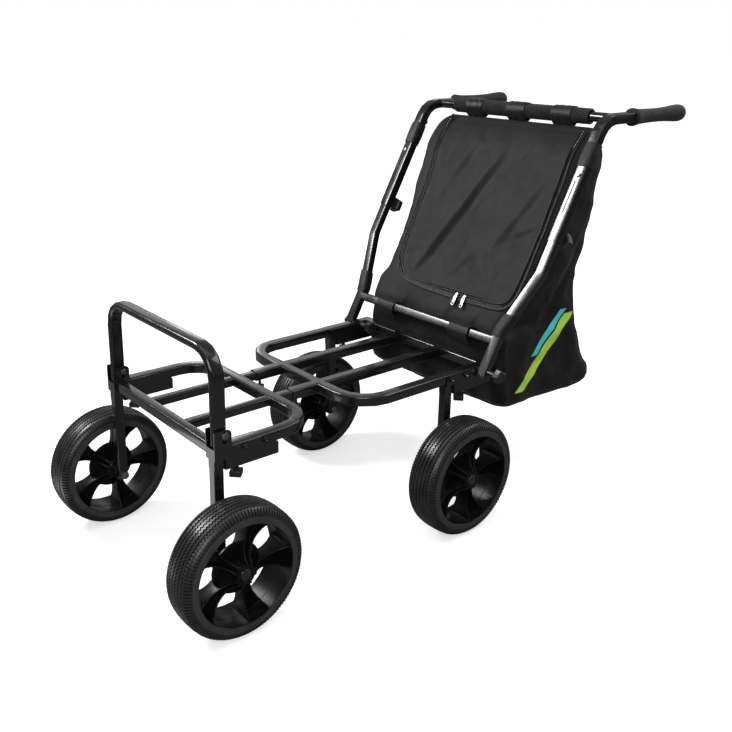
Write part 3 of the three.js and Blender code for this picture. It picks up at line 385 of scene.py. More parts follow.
tread = []
for groove in GROOVES:
    radius = between(CROWN, groove)
    tread += [
        (groove - GROOVE_HALF, radius + GROOVE_LIP), (groove - GROOVE_FLOOR, radius - GROOVE_DEPTH),
        (groove + GROOVE_FLOOR, radius - GROOVE_DEPTH), (groove + GROOVE_HALF, radius - GROOVE_LIP),
    ]
half = sorted(CROWN + tread) + SHOULDER + SEAT
tyre = spun("tyre_master", half + [(-x, r) for x, r in reversed(half) if x > 0], TYRE_STEPS)
bpy.ops.object.mode_set(mode="EDIT")
pick_points(tyre, in_wave)
bpy.ops.transform.translate(value=(GROOVE_WAVE * MM, 0, 0))
pick_faces(tyre, between_ribs)
bpy.ops.mesh.inset(thickness=RIB_DRAFT * MM, depth=-RIB_DEPTH * MM)
bpy.ops.object.mode_set(mode="OBJECT")

rubber = handled_finish(
    "foam_rubber", "Smudge", (RUBBER_COLOUR, RUBBER_PALE_COLOUR), roughness=(0.28, 0.42), marked=(90.0, 0.6),
    grained=(1300.0, 0.5), bump=(0.2, 0.25), Specular_IOR_Level=0.55,
)
dress(tyre, rubber, 30)

# The rims are injection-moulded in black nylon: a barrel with a lip each side, a hub, and five
# channel-section spokes that flare towards the barrel. A domed cap in the hub frees the wheel.
RIM_STEPS, DISC_STEPS, HUB_STEPS = 120, 96, 48
BARREL = [
    (36.6, 99.4), (30, 100.3), (4, 100.7), (3.2, 99.9), (-3.2, 99.9), (-4, 100.7), (-30, 100.3), (-36.6, 99.4),
    (-37.5, 100.2), (-37.5, 111.8), (-36.7, 112.6), (-34.1, 112.6), (-33.5, 112.0), (-33.5, 105.2),
    (33.5, 105.2), (33.5, 112.0), (34.1, 112.6), (36.7, 112.6), (37.5, 111.8), (37.5, 100.2),
]
HUB = [
    (-34, 8.4), (-34, 19), (-32.5, 20.5), (31, 20.5), (33.4, 19.6), (34, 18.2), (34, 13.2), (33.2, 12.5),
    (22, 12.5), (22, 8.4),
]
HUB_DISC = [(-2.5, 14), (-2.5, 49.6), (-1.5, 51), (1.5, 51), (2.5, 49.6), (2.5, 14)]
CAP = [
    (26.5, 0), (26.5, 11.7), (32.9, 11.7), (33.6, 11.2), (34.3, 10), (35.4, 8), (36.15, 6), (36.7, 4),
    (37.0, 2), (37.1, 0),
]
LIP_FROM, LIP_INSIDE = 33.8, 99.9
SPOKES = 5
FIRST_SPOKE = -2
SPOKE_FROM, SPOKE_TO = 15, 104.2
SPOKE_STEPS = 12
SPOKE_WALL = 2.9
SPOKE_WEB = 3
# A spoke narrows to its waist and flares to the barrel: where its shape starts, how long it is, its
# half depth and half width at the least, what they gain, and how late the width gains it
SPOKE_START, SPOKE_SPAN = 17, 84
SPOKE_DEPTH, SPOKE_DEEPER = 15.5, 18
SPOKE_WIDTH, SPOKE_WIDER, SPOKE_FLARE = 6.8, 18.5, 2.1
SPOKE_ROUND, SPOKE_ROUND_STEPS, SPOKE_SHARP = 1.1, 3, 50
RIM_COLOURS = (0.006, 0.006, 0.0065, 1), (0.03, 0.03, 0.029, 1)
LIP_PAINTED_REFLECTION_COLOURS = (0.038, 0.038, 0.0382, 1), (0.056, 0.056, 0.056, 1)
CAP_COLOURS = (0.006, 0.006, 0.0065, 1), (0.014, 0.014, 0.015, 1)


def spoke_size(radius):
    """A spoke's half depth and half width at a radius."""
    share = min(1, max(0, (radius - SPOKE_START) / SPOKE_SPAN))
    return SPOKE_DEPTH + SPOKE_DEEPER * (2 * share - 1) ** 2, SPOKE_WIDTH + SPOKE_WIDER * share ** SPOKE_FLARE


def modified(piece, kind, **settings):
    """Adds a modifier to a piece and applies it."""
    change = piece.modifiers.new("change", kind)
    for key, value in settings.items():
        setattr(change, key, value)
    make_active(piece)
    bpy.ops.object.modifier_apply(modifier=change.name)


rim = spun("barrel", BARREL, RIM_STEPS)
hub = spun("hub", HUB, HUB_STEPS)
disc = spun("hub_disc", HUB_DISC, DISC_STEPS)
deselect()
step = (SPOKE_TO - SPOKE_FROM) / SPOKE_STEPS
bpy.ops.mesh.primitive_cube_add(size=1)
spoke = bpy.context.object
depth, width = spoke_size(SPOKE_FROM)
first_block = Matrix.Diagonal((2 * depth * MM, 2 * width * MM, step * MM, 1))
spoke.data.transform(Matrix.Translation((0, 0, (SPOKE_FROM + step / 2) * MM)) @ first_block)
bpy.ops.object.mode_set(mode="EDIT")
pick_faces(spoke, lambda c, n: n.z > 0.9)
for i in range(1, SPOKE_STEPS):
    bpy.ops.mesh.extrude_region_move(TRANSFORM_OT_translate={"value": (0, 0, step * MM)})
    after = spoke_size(SPOKE_FROM + step * (i + 1))
    before = spoke_size(SPOKE_FROM + step * i) if i > 1 else (depth, width)
    growth = (after[0] / before[0], after[1] / before[1], 1)
    bpy.ops.transform.resize(value=growth, center_override=(0, 0, 0))
for side in (1, -1):
    pick_faces(spoke, lambda c, n: side * n.x > 0.35)
    bpy.ops.mesh.inset(thickness=SPOKE_WALL * MM, depth=0)
    bpy.ops.mesh.extrude_region_move(TRANSFORM_OT_translate={"value": (0, 0, 0)})
    bpy.ops.transform.resize(value=(0, 1, 1), center_override=(side * SPOKE_WEB * MM, 0, 0))
tidy_mesh()
bpy.ops.object.mode_set(mode="OBJECT")
modified(spoke, "BEVEL", width=SPOKE_ROUND * MM, segments=SPOKE_ROUND_STEPS, limit_method="ANGLE",
         angle_limit=math.radians(SPOKE_SHARP))

for i in range(SPOKES):
    turn = Matrix.Rotation(math.radians(FIRST_SPOKE + 360 / SPOKES * i), 4, "X")
    arm = copied(spoke, "arm", Matrix.Rotation(math.radians(-90), 4, "X") @ turn)
    modified(rim, "BOOLEAN", operation="UNION", object=arm)
    bpy.data.objects.remove(arm)
for solid in (disc, hub):
    modified(rim, "BOOLEAN", operation="UNION", object=solid)
for spare in (spoke, hub, disc):
    bpy.data.objects.remove(spare)

rim_finish = handled_finish(
    "moulded_rim", "Dust", RIM_COLOURS, roughness=(0.24, 0.34), marked=(60.0, 0.4), grained=(1100.0, 0.8),
    bump=(0.1, 0.3), Specular_IOR_Level=0.19,
)
# The lips are rougher and grained, and are painted paler than the rest of the rim: the paler colour is a
# painted reflection of the floor.
lip_painted_reflection_finish = handled_finish(
    "grained_lip_painted_reflection", "Smudge", LIP_PAINTED_REFLECTION_COLOURS, roughness=(0.55, 0.68), marked=(80.0, 0.5), grained=(1400.0, 0.4),
    bump=(0.25, 0.3), Specular_IOR_Level=0.45,
)
dress(rim, rim_finish, 32)
rim.data.materials.append(lip_painted_reflection_finish)
for polygon in rim.data.polygons:
    if abs(polygon.center.x) > LIP_FROM * MM and from_axis(polygon.center) > LIP_INSIDE * MM:
        polygon.material_index = 1

gloss, tree, shader = new_finish("gloss_cap", Specular_IOR_Level=0.6, Coat_Weight=0.5, Coat_Roughness=0.06)
tree.links.new(blended(tree, noisy(tree, 90.0, 3.0), *CAP_COLOURS), shader.inputs["Base Color"])
tree.links.new(ranged(tree, noisy(tree, 40.0, 4.0), 0.3, 0.7, 0.09, 0.16), shader.inputs["Roughness"])
bumped(tree, shader, use_effect(tree, grain, Size=900.0).outputs["Height"], 0.06, 0.2 * MM)
cap = spun("cap", CAP, HUB_STEPS)
dress(cap, gloss, 40)

for place in WHEEL_STATIONS:
    for master, name, body, slot in (
        (tyre, "tyre", "wheel", "tyre"), (rim, "rim", "wheel", "black_plastic"),
        (cap, "release_button", "release_button", "gloss_plastic"),
    ):
        piece = copied(master, f"made_{name}_{place}", sided(place))
        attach(piece, f"{body}_{place}")
        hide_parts(f"{name}_{place}")
for master in (tyre, rim, cap):
    bpy.data.objects.remove(master)

# The handle's knobs and the legs' wing screws are lobed nylon heads moulded on steel studs, in
# the same black nylon as the screw heads. They are carried over with eased edges.
for prefix in ("wing_screw_", "hinge_knob_", "clamp_knob_"):
    carried_over(prefix, nylon, ZINC_EDGE, MOULDED_SHARP)

# The push grips are dense black foam, flared at the tube and bulbed at the end, pushed over the
# handle's two stubs. The same foam, ribbed, is the sleeve along the top bar.
GRIP_PAINTED_SHADE_COLOURS = (0.009, 0.009, 0.0093, 1), (0.019, 0.019, 0.019, 1)
SLEEVE_PAINTED_LIGHT_COLOURS = (0.022, 0.022, 0.0225, 1), (0.044, 0.044, 0.044, 1)
GRIP_OUTLINE = [
    (0, 11.2), (0, 18.6), (1.2, 19.8), (4, 20), (12, 18.7), (24, 17.2), (45, 16.2), (75, 15.6), (105, 15.6),
    (130, 16.4), (152, 18.2), (170, 19.4), (181, 19.5), (189, 18.4), (193.5, 16.0), (195, 12.0), (195.2, 0),
    (150.5, 0), (150.5, 11.2),
]
GRIP_SIDES = 48
HANDLE_HALF = 268


def foam_finish(name, dark, pale):
    """Closed-cell foam: cells in its skin, and paler where it has been handled."""
    finish, tree, shader = new_finish(name, Specular_IOR_Level=0.35, Sheen_Weight=0.12, Sheen_Roughness=0.4)
    cells = add(tree, "TexVoronoi", Scale=1100.0)
    tree.links.new(add(tree, "TexCoord").outputs["Object"], cells.inputs["Vector"])
    worn = ranged(tree, noisy(tree, 55.0, 4.0), 0.35, 0.7)
    tree.links.new(blended(tree, worn, dark, pale), shader.inputs["Base Color"])
    tree.links.new(ranged(tree, noisy(tree, 200.0, 3.0), 0.3, 0.7, 0.62, 0.78), shader.inputs["Roughness"])
    bumped(tree, shader, cells.outputs["Distance"], 0.35, 0.3 * MM)
    return finish


# One foam in two painted tones: the grips' copy is painted darker as painted shade, and the ribbed sleeve's
# copy paler as painted light.
grip_foam = foam_finish("closed_cell_foam_painted_shade", *GRIP_PAINTED_SHADE_COLOURS)
ribbed_foam_painted_light = foam_finish("ribbed_foam_painted_light", *SLEEVE_PAINTED_LIGHT_COLOURS)

grip = spun("grip_master", GRIP_OUTLINE, GRIP_SIDES)
dress(grip, grip_foam, 50)
grip_low, grip_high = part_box("grip_right")
grip_z = (grip_low.z + grip_high.z) / 2
for side, hand in ((1, "right"), (-1, "left")):
    stub = Matrix.Translation((side * HANDLE_HALF * MM, grip_low.y, grip_z))
    piece = copied(grip, f"made_grip_{hand}", stub @ Matrix.Rotation(math.radians(90), 4, "Z"))
    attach(piece, "upper_handle")
    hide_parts(f"grip_{hand}")
bpy.data.objects.remove(grip)

FOAM_PITCH = 5.8
FOAM_HALF = 203
FOAM_SIDES = 56
FOAM_BORE, FOAM_END, FOAM_MARGIN = 12.6, 16.0, 1
FOAM_RIB = [
    (0, 13.3), (1.6, 13.3), (2.0, 16.2), (2.5, 17.6), (3.3, 18.0), (4.1, 17.6), (4.6, 16.2), (5.0, 14.0),
]


def fitted(piece, finish, angle, body, slot, *replaced):
    """Gives a piece its finish, the body it rides on and the CAD nodes it replaces; its slot is not used."""
    dress(piece, finish, angle)
    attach(piece, body)
    if replaced:
        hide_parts(*replaced)


bar_low, bar_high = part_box("foam_sleeve")
bar = Vector((0, (bar_low.y + bar_high.y) / 2, (bar_low.z + bar_high.z) / 2))
sleeve_outline = [(-FOAM_HALF, FOAM_BORE), (-FOAM_HALF, FOAM_END)]
for i in range(int(2 * FOAM_HALF / FOAM_PITCH)):
    sleeve_outline += [(-FOAM_HALF + FOAM_MARGIN + i * FOAM_PITCH + x, radius) for x, radius in FOAM_RIB]
sleeve_outline += [(FOAM_HALF, FOAM_END), (FOAM_HALF, FOAM_BORE)]
sleeve = spun("made_foam_sleeve", sleeve_outline, FOAM_SIDES)
sleeve.data.transform(Matrix.Translation(bar))
fitted(sleeve, ribbed_foam_painted_light, 60, "upper_handle", "grip_foam", "foam_sleeve")

# The bag is sewn from black coated polyester: a deep body that hangs in the handle, a flap on its
# front zipped round three sides, loops round the top bar and the lower bar, and printed bars.
BAG_SECTIONS = [
    # height, front, rear, front left, front right, rear left, rear right
    (236, 462, 722, -204, 214, -214, 224),
    (243, 444, 740, -211, 221, -223, 234),
    (252, 436, 750, -214, 225, -228, 239),
    (270, 428, 752, -214, 226, -229, 239),
    (300, 427, 727, -213, 226, -230, 237),
    (350, 427, 704, -208, 225, -231, 235),
    (392, 427, 687, -201, 222, -232, 235),
    (418, 430, 685, -202, 208, -232, 235),
    (450, 447, 682, -204, 216, -233, 236),
    (478, 462, 676, -190, 223, -234, 238),
    (525, 488, 668, -188, 236, -235, 241),
    (570, 512, 679, -190, 240, -238, 244),
    (639, 550, 691, -202, 238, -240, 245),
    (729, 602, 706, -223, 233, -241, 245),
    (787, 640, 730, -238, 229, -249, 238),
    (815, 668, 727, -238, 224, -251, 230),
    (832, 688, 722, -228, 216, -238, 219),
    (841, 699, 716, -212, 205, -216, 208),
]
BAG_ROWS = 150
BOTTOM_SEAM_ROW = 3
FRONT_COLUMNS, SIDE_COLUMNS, CORNER_COLUMNS = 100, 44, 7
CORNER_REACH, CORNER_SHARE = 26, 0.38
CLOTH_THICKNESS = 1.6
# The bottom sags by so much in its middle, over this height, and less towards its sides
BAG_SAG, SAG_HEIGHT, SAG_LOSS, SAG_WIDTH = 13, 16, 0.35, 240
SEAM_AT, SEAM_DEPTH, SEAM_HALF = 527, 1.8, 4.0
ZIP_AT, ZIP_CALM, ZIP_CALM_HALF = 455, 0.85, 24
# The cloth is held at its top: from this height down, the folds grow to their full depth
FRONT_HELD_AT, FRONT_HELD_OVER = 838, 40
SIDE_HELD_AT, SIDE_HELD_OVER = 836, 50
STITCH = 0.002 * MM
ROW_ORIGIN_Y = 270
# Crumples and creases: their size, how far they go, and their seed
FRONT_SOFT, FRONT_FINE = (75, 3.6, 4.0), (28, 1.0, 9.0)
FRONT_CREASE, FRONT_FINE_CREASE = (64, 1.8, 5.0), (31, 0.75, 8.0)
SIDE_SOFT, SIDE_FINE, SIDE_CREASE = (70, 5.0, 2.0), (30, 1.4, 7.0), (58, 2.2, 3.0)
CREASE_SHARP = 2.5
# Folds: the two ends (x, z), the half width, and how far in (or out, if negative) they go
FRONT_FOLDS = [
    ((30, 740), (-26, 560), 20, -3.0), ((90, 700), (140, 600), 26, 4.0),
    ((140, 612), (205, 580), 12, 3.0), ((60, 780), (20, 700), 30, 3.0),
    ((-150, 780), (-120, 700), 22, 3.0), ((100, 820), (150, 760), 20, -3.5),
    ((60, 560), (150, 500), 30, -4.0), ((-100, 470), (-60, 400), 14, 3.5),
    ((-20, 460), (-40, 380), 18, 2.5), ((100, 450), (120, 390), 16, 2.0),
]
# Ledges: a line's two ends, how fast the cloth drops on its right and rises again, and how far
FRONT_LEDGES = [
    ((22, 770), (-96, 492), 11, 58, 14.0), ((-58, 815), (-118, 640), 12, 40, 5.0),
    ((176, 735), (96, 560), 12, 46, 6.0), ((222, 650), (120, 600), 9, 34, 4.0),
    ((60, 560), (0, 490), 11, 38, 4.5), ((110, 830), (70, 740), 11, 42, 4.5),
    ((-70, 470), (-110, 380), 10, 30, 5.0), ((60, 455), (30, 375), 11, 36, 4.5),
    ((150, 470), (110, 372), 10, 30, 4.0),
]
# The same on the bag's sides, by (y, z)
SIDE_LEDGES = [
    ((560, 690), (470, 440), 12, 46, 7.0), ((660, 640), (560, 430), 13, 50, 6.0),
    ((640, 400), (500, 300), 14, 40, 4.0), ((690, 470), (720, 300), 11, 30, 5.0),
    ((500, 520), (440, 360), 10, 34, 4.0),
]
LEDGE_GAIN, LEDGE_ENDS = 1.6, 25


def cubic(table, z, column):
    """A smooth value between the table's rows, by their slopes."""
    rows = len(table)
    i = max(0, min(rows - 2, next((k for k in range(rows - 1) if z <= table[k + 1][0]), rows - 2)))
    (z0, v0), (z1, v1) = ((table[k][0], table[k][column]) for k in (i, i + 1))
    slope = (v1 - v0) / (z1 - z0)
    before = (v0 - table[i - 1][column]) / (z0 - table[i - 1][0]) if i else slope
    after = (table[i + 2][column] - v1) / (table[i + 2][0] - z1) if i + 2 < rows else slope
    m0 = 0 if before * slope < 0 else (before + slope) / 2
    m1 = 0 if after * slope < 0 else (after + slope) / 2
    t = max(0.0, min(1.0, (z - z0) / (z1 - z0)))
    span = z1 - z0
    return ((2 * t ** 3 - 3 * t ** 2 + 1) * v0 + (t ** 3 - 2 * t ** 2 + t) * span * m0
            + (3 * t ** 2 - 2 * t ** 3) * v1 + (t ** 3 - t ** 2) * span * m1)


def from_line(point, start, end):
    """How far a point is from a line, and the share of the way along it."""
    along = Vector(end) - Vector(start)
    share = (Vector(point) - Vector(start)).dot(along) / along.length_squared
    held = max(0.0, min(1.0, share))
    return (Vector(point) - Vector(start) - along * held).length, held


def bell(distance, width):
    """A smooth bump's share at a distance from its middle."""
    return math.exp(-((distance / width) ** 2))


def folded(point, folds):
    """How far the folds move the cloth at a point."""
    total = 0.0
    for start, end, width, reach in folds:
        away, share = from_line(point, start, end)
        swell = 0.35 + 0.65 * math.sin(math.pi * min(1, share * 1.15 + 0.1)) ** 2
        total += reach * bell(away, width) * swell
    return total


def ledged(point, ledges):
    """How far the ledges move the cloth at a point."""
    total = 0.0
    for start, end, drop, rise, reach in ledges:
        line = Vector(end) - Vector(start)
        along = line.normalized()
        offset = Vector(point) - Vector(start)
        aside = offset.x * -along.y + offset.y * along.x
        if aside > 0:
            _, share = from_line(point, start, end)
            fade = math.sin(math.pi * min(1, max(0, share * 0.94 + 0.03))) ** 0.6
            beyond = max(0, offset.dot(along) - line.length) + max(0, -offset.dot(along))
            edge = (1 - bell(aside, drop)) * math.exp(-aside / rise)
            total += reach * fade * math.exp(-beyond / LEDGE_ENDS) * edge * LEDGE_GAIN
    return total


def crumple(x, y, z, size, reach, seed):
    place = Vector((x, y, z)) / size + Vector((seed, seed * 1.7, seed * 0.3))
    return reach * (noise.noise(place) + 0.5 * noise.noise(place * 2.1))


def creased(x, z, size, reach, seed):
    """Sharp-edged creases, as stiff coated cloth keeps them."""
    return reach * (1 - CREASE_SHARP * abs(noise.noise(Vector((x / size, seed, z / size)))))


def front_relief(x, z):
    """How far the bag's front is moved along +Y, in millimetres."""
    held = min(1.0, max(0.0, (FRONT_HELD_AT - z) / FRONT_HELD_OVER))
    soft = crumple(x, 0, z * 0.7, *FRONT_SOFT) + crumple(x, 0, z, *FRONT_FINE)
    crisp = creased(x * 0.9 + z * 0.5, z * 0.6, *FRONT_CREASE) + creased(x, z, *FRONT_FINE_CREASE)
    drawn = folded((x, z), FRONT_FOLDS) + ledged((x, z), FRONT_LEDGES) + soft + crisp
    return held * (1 - ZIP_CALM * bell(z - ZIP_AT, ZIP_CALM_HALF)) * drawn


def side_relief(p, z, normal):
    """How far the bag's sides and back are moved outwards, in millimetres."""
    moved = crumple(p.x, p.y, z * 0.6, *SIDE_SOFT) + crumple(p.x, p.y, z, *SIDE_FINE)
    moved += creased((p.x + p.y) * 0.7, z, *SIDE_CREASE)
    moved -= abs(normal.x) * ledged((p.y, z), SIDE_LEDGES)
    moved -= SEAM_DEPTH * bell(z - SEAM_AT, SEAM_HALF)
    return min(1.0, max(0.0, (SIDE_HELD_AT - z) / SIDE_HELD_OVER)) * moved


def bag_ring(z):
    """The bag's level outline at a height, from the front left round to the left side."""
    front, rear, fl, fr, rl, rr = (cubic(BAG_SECTIONS, z, column) for column in range(1, 7))
    corners = [Vector((fl, front)), Vector((fr, front)), Vector((rr, rear)), Vector((rl, rear))]
    reach = min(CORNER_REACH, (rear - front) * CORNER_SHARE)
    ring = []
    for i in range(4):
        here, after, before = corners[i], corners[(i + 1) % 4], corners[i - 1]
        into = here + (before - here).normalized() * reach
        out = here + (after - here).normalized() * reach
        for k in range(CORNER_COLUMNS):
            t = k / CORNER_COLUMNS
            ring.append(into * (1 - t) ** 2 + here * (2 * t * (1 - t)) + out * t ** 2)
        end = after + (here - after).normalized() * reach
        columns = FRONT_COLUMNS if i % 2 == 0 else SIDE_COLUMNS
        ring += [out.lerp(end, k / columns) for k in range(columns)]
    return ring


def shifted(x, y, z):
    """A point of the drawing, in millimetres, in the frame's metres."""
    return Vector((x, y - ROW_ORIGIN_Y, z)) * MM


def set_out(name, rows, round_across=False, round_along=False, capped=False):
    """A grid primitive with its points set out in rows. A direction that comes round is stitched,
    open ends may be capped, and a UV map in metres runs along and up the cloth."""
    deselect()
    across = len(rows[0]) - (0 if round_across else 1)
    along = len(rows) - (0 if round_along else 1)
    bpy.ops.mesh.primitive_grid_add(x_subdivisions=across, y_subdivisions=along, size=1)
    piece = bpy.context.object
    piece.name = piece.data.name = name
    for i, vertex in enumerate(piece.data.vertices):
        row, column = divmod(i, across + 1)
        vertex.co = rows[row % len(rows)][column % len(rows[0])]
    if round_across or round_along:
        bpy.ops.object.mode_set(mode="EDIT")
        bpy.ops.mesh.select_all(action="SELECT")
        bpy.ops.mesh.remove_doubles(threshold=STITCH)
        if capped:
            bpy.ops.mesh.fill_holes(sides=0)
            bpy.ops.mesh.select_all(action="SELECT")
        bpy.ops.mesh.normals_make_consistent(inside=False)
        bpy.ops.object.mode_set(mode="OBJECT")
    layer = piece.data.uv_layers[0]
    layer.name = "cloth"
    for polygon in piece.data.polygons:
        for loop in polygon.loop_indices:
            point = piece.data.vertices[piece.data.loops[loop].vertex_index].co
            u = point.x if abs(polygon.normal.y) > abs(polygon.normal.x) else point.y
            layer.data[loop].uv = (u, point.z)
    return piece


rings = []
low_z, high_z = BAG_SECTIONS[0][0], BAG_SECTIONS[-1][0]
for row in range(BAG_ROWS + 1):
    z = low_z + (high_z - low_z) * row / BAG_ROWS
    outline = bag_ring(z)
    ring = []
    for i, p in enumerate(outline):
        ahead, back = outline[(i + 1) % len(outline)], outline[i - 1]
        normal = Vector((ahead.y - back.y, back.x - ahead.x)).normalized()
        front_share = max(0.0, -normal.y)
        move = (1 - front_share) * side_relief(p, z, normal) - front_share * front_relief(p.x, z)
        sag = BAG_SAG * bell(z - low_z, SAG_HEIGHT) * (1 - SAG_LOSS * (p.x / SAG_WIDTH) ** 2)
        ring.append(shifted(p.x + normal.x * move, p.y + normal.y * move, z - sag))
    rings.append(ring)
bag = set_out("made_bag_body", rings, round_across=True, capped=True)

# The weave: crossing threads along the cloth's UV map, uneven in thickness.
weave, inside, outside = new_effect(
    "weave", {"Threads": 1500.0, "Slub": 0.3}, {"Height": "Float", "Shade": "Float"}
)
parts = add(weave, "SeparateXYZ")
weave.links.new(add(weave, "UVMap", uv_map="cloth").outputs[0], parts.inputs[0])
turns = maths(weave, "MULTIPLY", inside.outputs["Threads"], math.tau)
warp = maths(weave, "SINE", maths(weave, "MULTIPLY", parts.outputs["X"], turns))
weft = maths(weave, "SINE", maths(weave, "MULTIPLY", parts.outputs["Y"], turns))
slub = noisy(weave, 240.0, 3.0, 0.6)
cross = maths(weave, "MULTIPLY", warp, weft)
uneven = maths(weave, "MULTIPLY", slub, inside.outputs["Slub"])
weave.links.new(maths(weave, "ADD", cross, uneven), outside.inputs["Height"])
shaded = maths(weave, "ADD", maths(weave, "MULTIPLY", cross, 0.15), slub)
weave.links.new(ranged(weave, shaded, 0.2, 0.9), outside.inputs["Shade"])


def cloth_finish(name, dark, pale, rough, sheen):
    """Woven cloth, paler and rougher where it is worn."""
    finish, tree, shader = new_finish(name, Specular_IOR_Level=0.3, Sheen_Weight=sheen, Sheen_Roughness=0.45)
    threads = use_effect(tree, weave)
    wear = ranged(tree, noisy(tree, 14.0, 5.0, 0.6), 0.3, 0.75)
    woven, worn = (maths(tree, "MULTIPLY", value, 0.5) for value in (threads.outputs["Shade"], wear))
    tree.links.new(blended(tree, maths(tree, "ADD", woven, worn), dark, pale), shader.inputs["Base Color"])
    tree.links.new(ranged(tree, wear, 0.0, 1.0, rough - 0.06, rough + 0.06), shader.inputs["Roughness"])
    bumped(tree, shader, threads.outputs["Height"], 0.35, 0.12 * MM)
    return finish, tree, shader


FABRIC = (0.0055, 0.0055, 0.0057, 1), (0.016, 0.016, 0.016, 1), 0.60, 0.08
WEBBING = (0.007, 0.007, 0.0073, 1), (0.013, 0.013, 0.0135, 1), 0.40, 0.05
# The cloth is painted darker below a slanted line whose edge wanders (in metres): painted shade where the
# bag's lower part turns away from the light
LOWER_PAINTED_SHADE_COLOUR = (0.003, 0.003, 0.0031, 1)
SHADE_LINE_HEIGHT = 0.265
SHADE_LINE_FADE = (0.008, 0.024)
SHADE_LINE_SLOPE = 0.7
SHADE_LINE_WANDER = 0.03
# Printed bars on the right side: a point on the middle (y, z), width, lowest and highest z, colour
PRINTED_BARS = [
    ((0.230, 0.262), 0.023, 0.262, 0.424, (0.60, 1.0, 0.09, 1)),
    ((0.278, 0.345), 0.015, 0.340, 0.436, (0.08, 0.84, 0.83, 1)),
]
BAR_SLOPE = (0.714, 0.700)
BAR_EDGE = 0.0004
PRINT_FROM_X = 0.205

fabric, _, _ = cloth_finish("coated_polyester", *FABRIC)
webbing, _, _ = cloth_finish("smooth_webbing", *WEBBING)

printed, tree, shader = cloth_finish("printed_polyester_painted_shade", *FABRIC)
place = add(tree, "SeparateXYZ")
tree.links.new(add(tree, "TexCoord").outputs["Object"], place.inputs[0])
x_at, y_at, z_at = place.outputs
# Painted shade: below the slanted line the cloth's colour gives way to a darker one, where the bag's lower
# part turns away from the light.
height = maths(tree, "SUBTRACT", z_at, maths(tree, "MULTIPLY", y_at, SHADE_LINE_SLOPE))
height = maths(tree, "ADD", height, maths(tree, "MULTIPLY", noisy(tree, 9.0, 2.0), SHADE_LINE_WANDER))
below = ranged(tree, height, SHADE_LINE_HEIGHT + SHADE_LINE_FADE[0], SHADE_LINE_HEIGHT + SHADE_LINE_FADE[1], 0.85, 0.0)
colour = blended(tree, below, shader.inputs["Base Color"].links[0].from_socket, LOWER_PAINTED_SHADE_COLOUR)
on_side = maths(tree, "GREATER_THAN", x_at, PRINT_FROM_X)
for (y0, z0), width, low, high, ink in PRINTED_BARS:
    rise = maths(tree, "MULTIPLY", maths(tree, "SUBTRACT", z_at, z0), BAR_SLOPE[1])
    run = maths(tree, "MULTIPLY", maths(tree, "SUBTRACT", y_at, y0), BAR_SLOPE[0])
    aside = maths(tree, "ABSOLUTE", maths(tree, "SUBTRACT", rise, run))
    in_bar = ranged(tree, aside, width / 2 - BAR_EDGE, width / 2 + BAR_EDGE, 1.0, 0.0)
    over, under = maths(tree, "GREATER_THAN", z_at, low), maths(tree, "LESS_THAN", z_at, high)
    in_bar = maths(tree, "MULTIPLY", in_bar, maths(tree, "MULTIPLY", over, under))
    print_mask = maths(tree, "MULTIPLY", in_bar, on_side)
    rubbed = ranged(tree, noisy(tree, 300.0, 4.0), 0.25, 0.45, 0.8, 1.0)
    colour = blended(tree, maths(tree, "MULTIPLY", print_mask, rubbed), colour, ink)
tree.links.new(colour, shader.inputs["Base Color"])
fitted(bag, printed, 180, "lower_handle", "bag_fabric", "bag_body")

# The flap lies on the bag's front inside its zip, and is sewn to the bag along its top.
# Its edges are (z, x) points.
FLAP_LEFT = [
    (471, -84), (473, -98), (477, -112), (484, -126), (495, -138), (510, -146), (532, -151), (575, -155),
    (640, -160), (700, -166), (742, -172), (775, -180), (806, -189), (832, -196),
]
FLAP_RIGHT = [
    (470, 192), (472, 201), (477, 208), (485, 213), (497, 216), (560, 217), (640, 216), (700, 214), (750, 210),
    (790, 205), (832, 198),
]
FLAP_TOP, FLAP_BOTTOM = 836, 469.5
FLAP_COLUMNS, FLAP_ROWS = 110, 100
FLAP_ROW_POWER = 1.15
# It stands proud of the bag, less near its top, where the last millimetres are tucked in
FLAP_PROUD, FLAP_LEVEL_OVER, FLAP_TOP_GAP = 2.8, 34, 4
FLAP_TUCK, FLAP_TUCK_OVER = 2.6, 7
SLOPE_REACH = 3


def front_at(x, z, proud):
    """The bag's front surface at (x, z), or a sheet that stands proud of it."""
    rise = cubic(BAG_SECTIONS, z + SLOPE_REACH, 1) - cubic(BAG_SECTIONS, z - SLOPE_REACH, 1)
    slope = rise / (2 * SLOPE_REACH)
    stretch = math.hypot(1, slope)
    out = proud - front_relief(x, z)
    return shifted(x, cubic(BAG_SECTIONS, z, 1) - out / stretch, z + out * slope / stretch)


flap_rows = []
for row in range(FLAP_ROWS + 1):
    z = FLAP_BOTTOM + (FLAP_TOP - FLAP_BOTTOM) * (row / FLAP_ROWS) ** FLAP_ROW_POWER
    left, right = between(FLAP_LEFT, z), between(FLAP_RIGHT, z)
    from_top = FLAP_TOP - z
    proud = FLAP_PROUD * min(1.0, (from_top + FLAP_TOP_GAP) / FLAP_LEVEL_OVER)
    proud -= FLAP_TUCK * max(0.0, 1 - from_top / FLAP_TUCK_OVER)
    across = [left + (right - left) * k / FLAP_COLUMNS for k in range(FLAP_COLUMNS + 1)]
    flap_rows.append([front_at(x, z, proud) for x in across])
flap = set_out("made_bag_flap", flap_rows)
dress(flap, fabric, 180)
modified(flap, "SOLIDIFY", thickness=CLOTH_THICKNESS * MM, offset=-1)
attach(flap, "flap")
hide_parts("bag_flap")

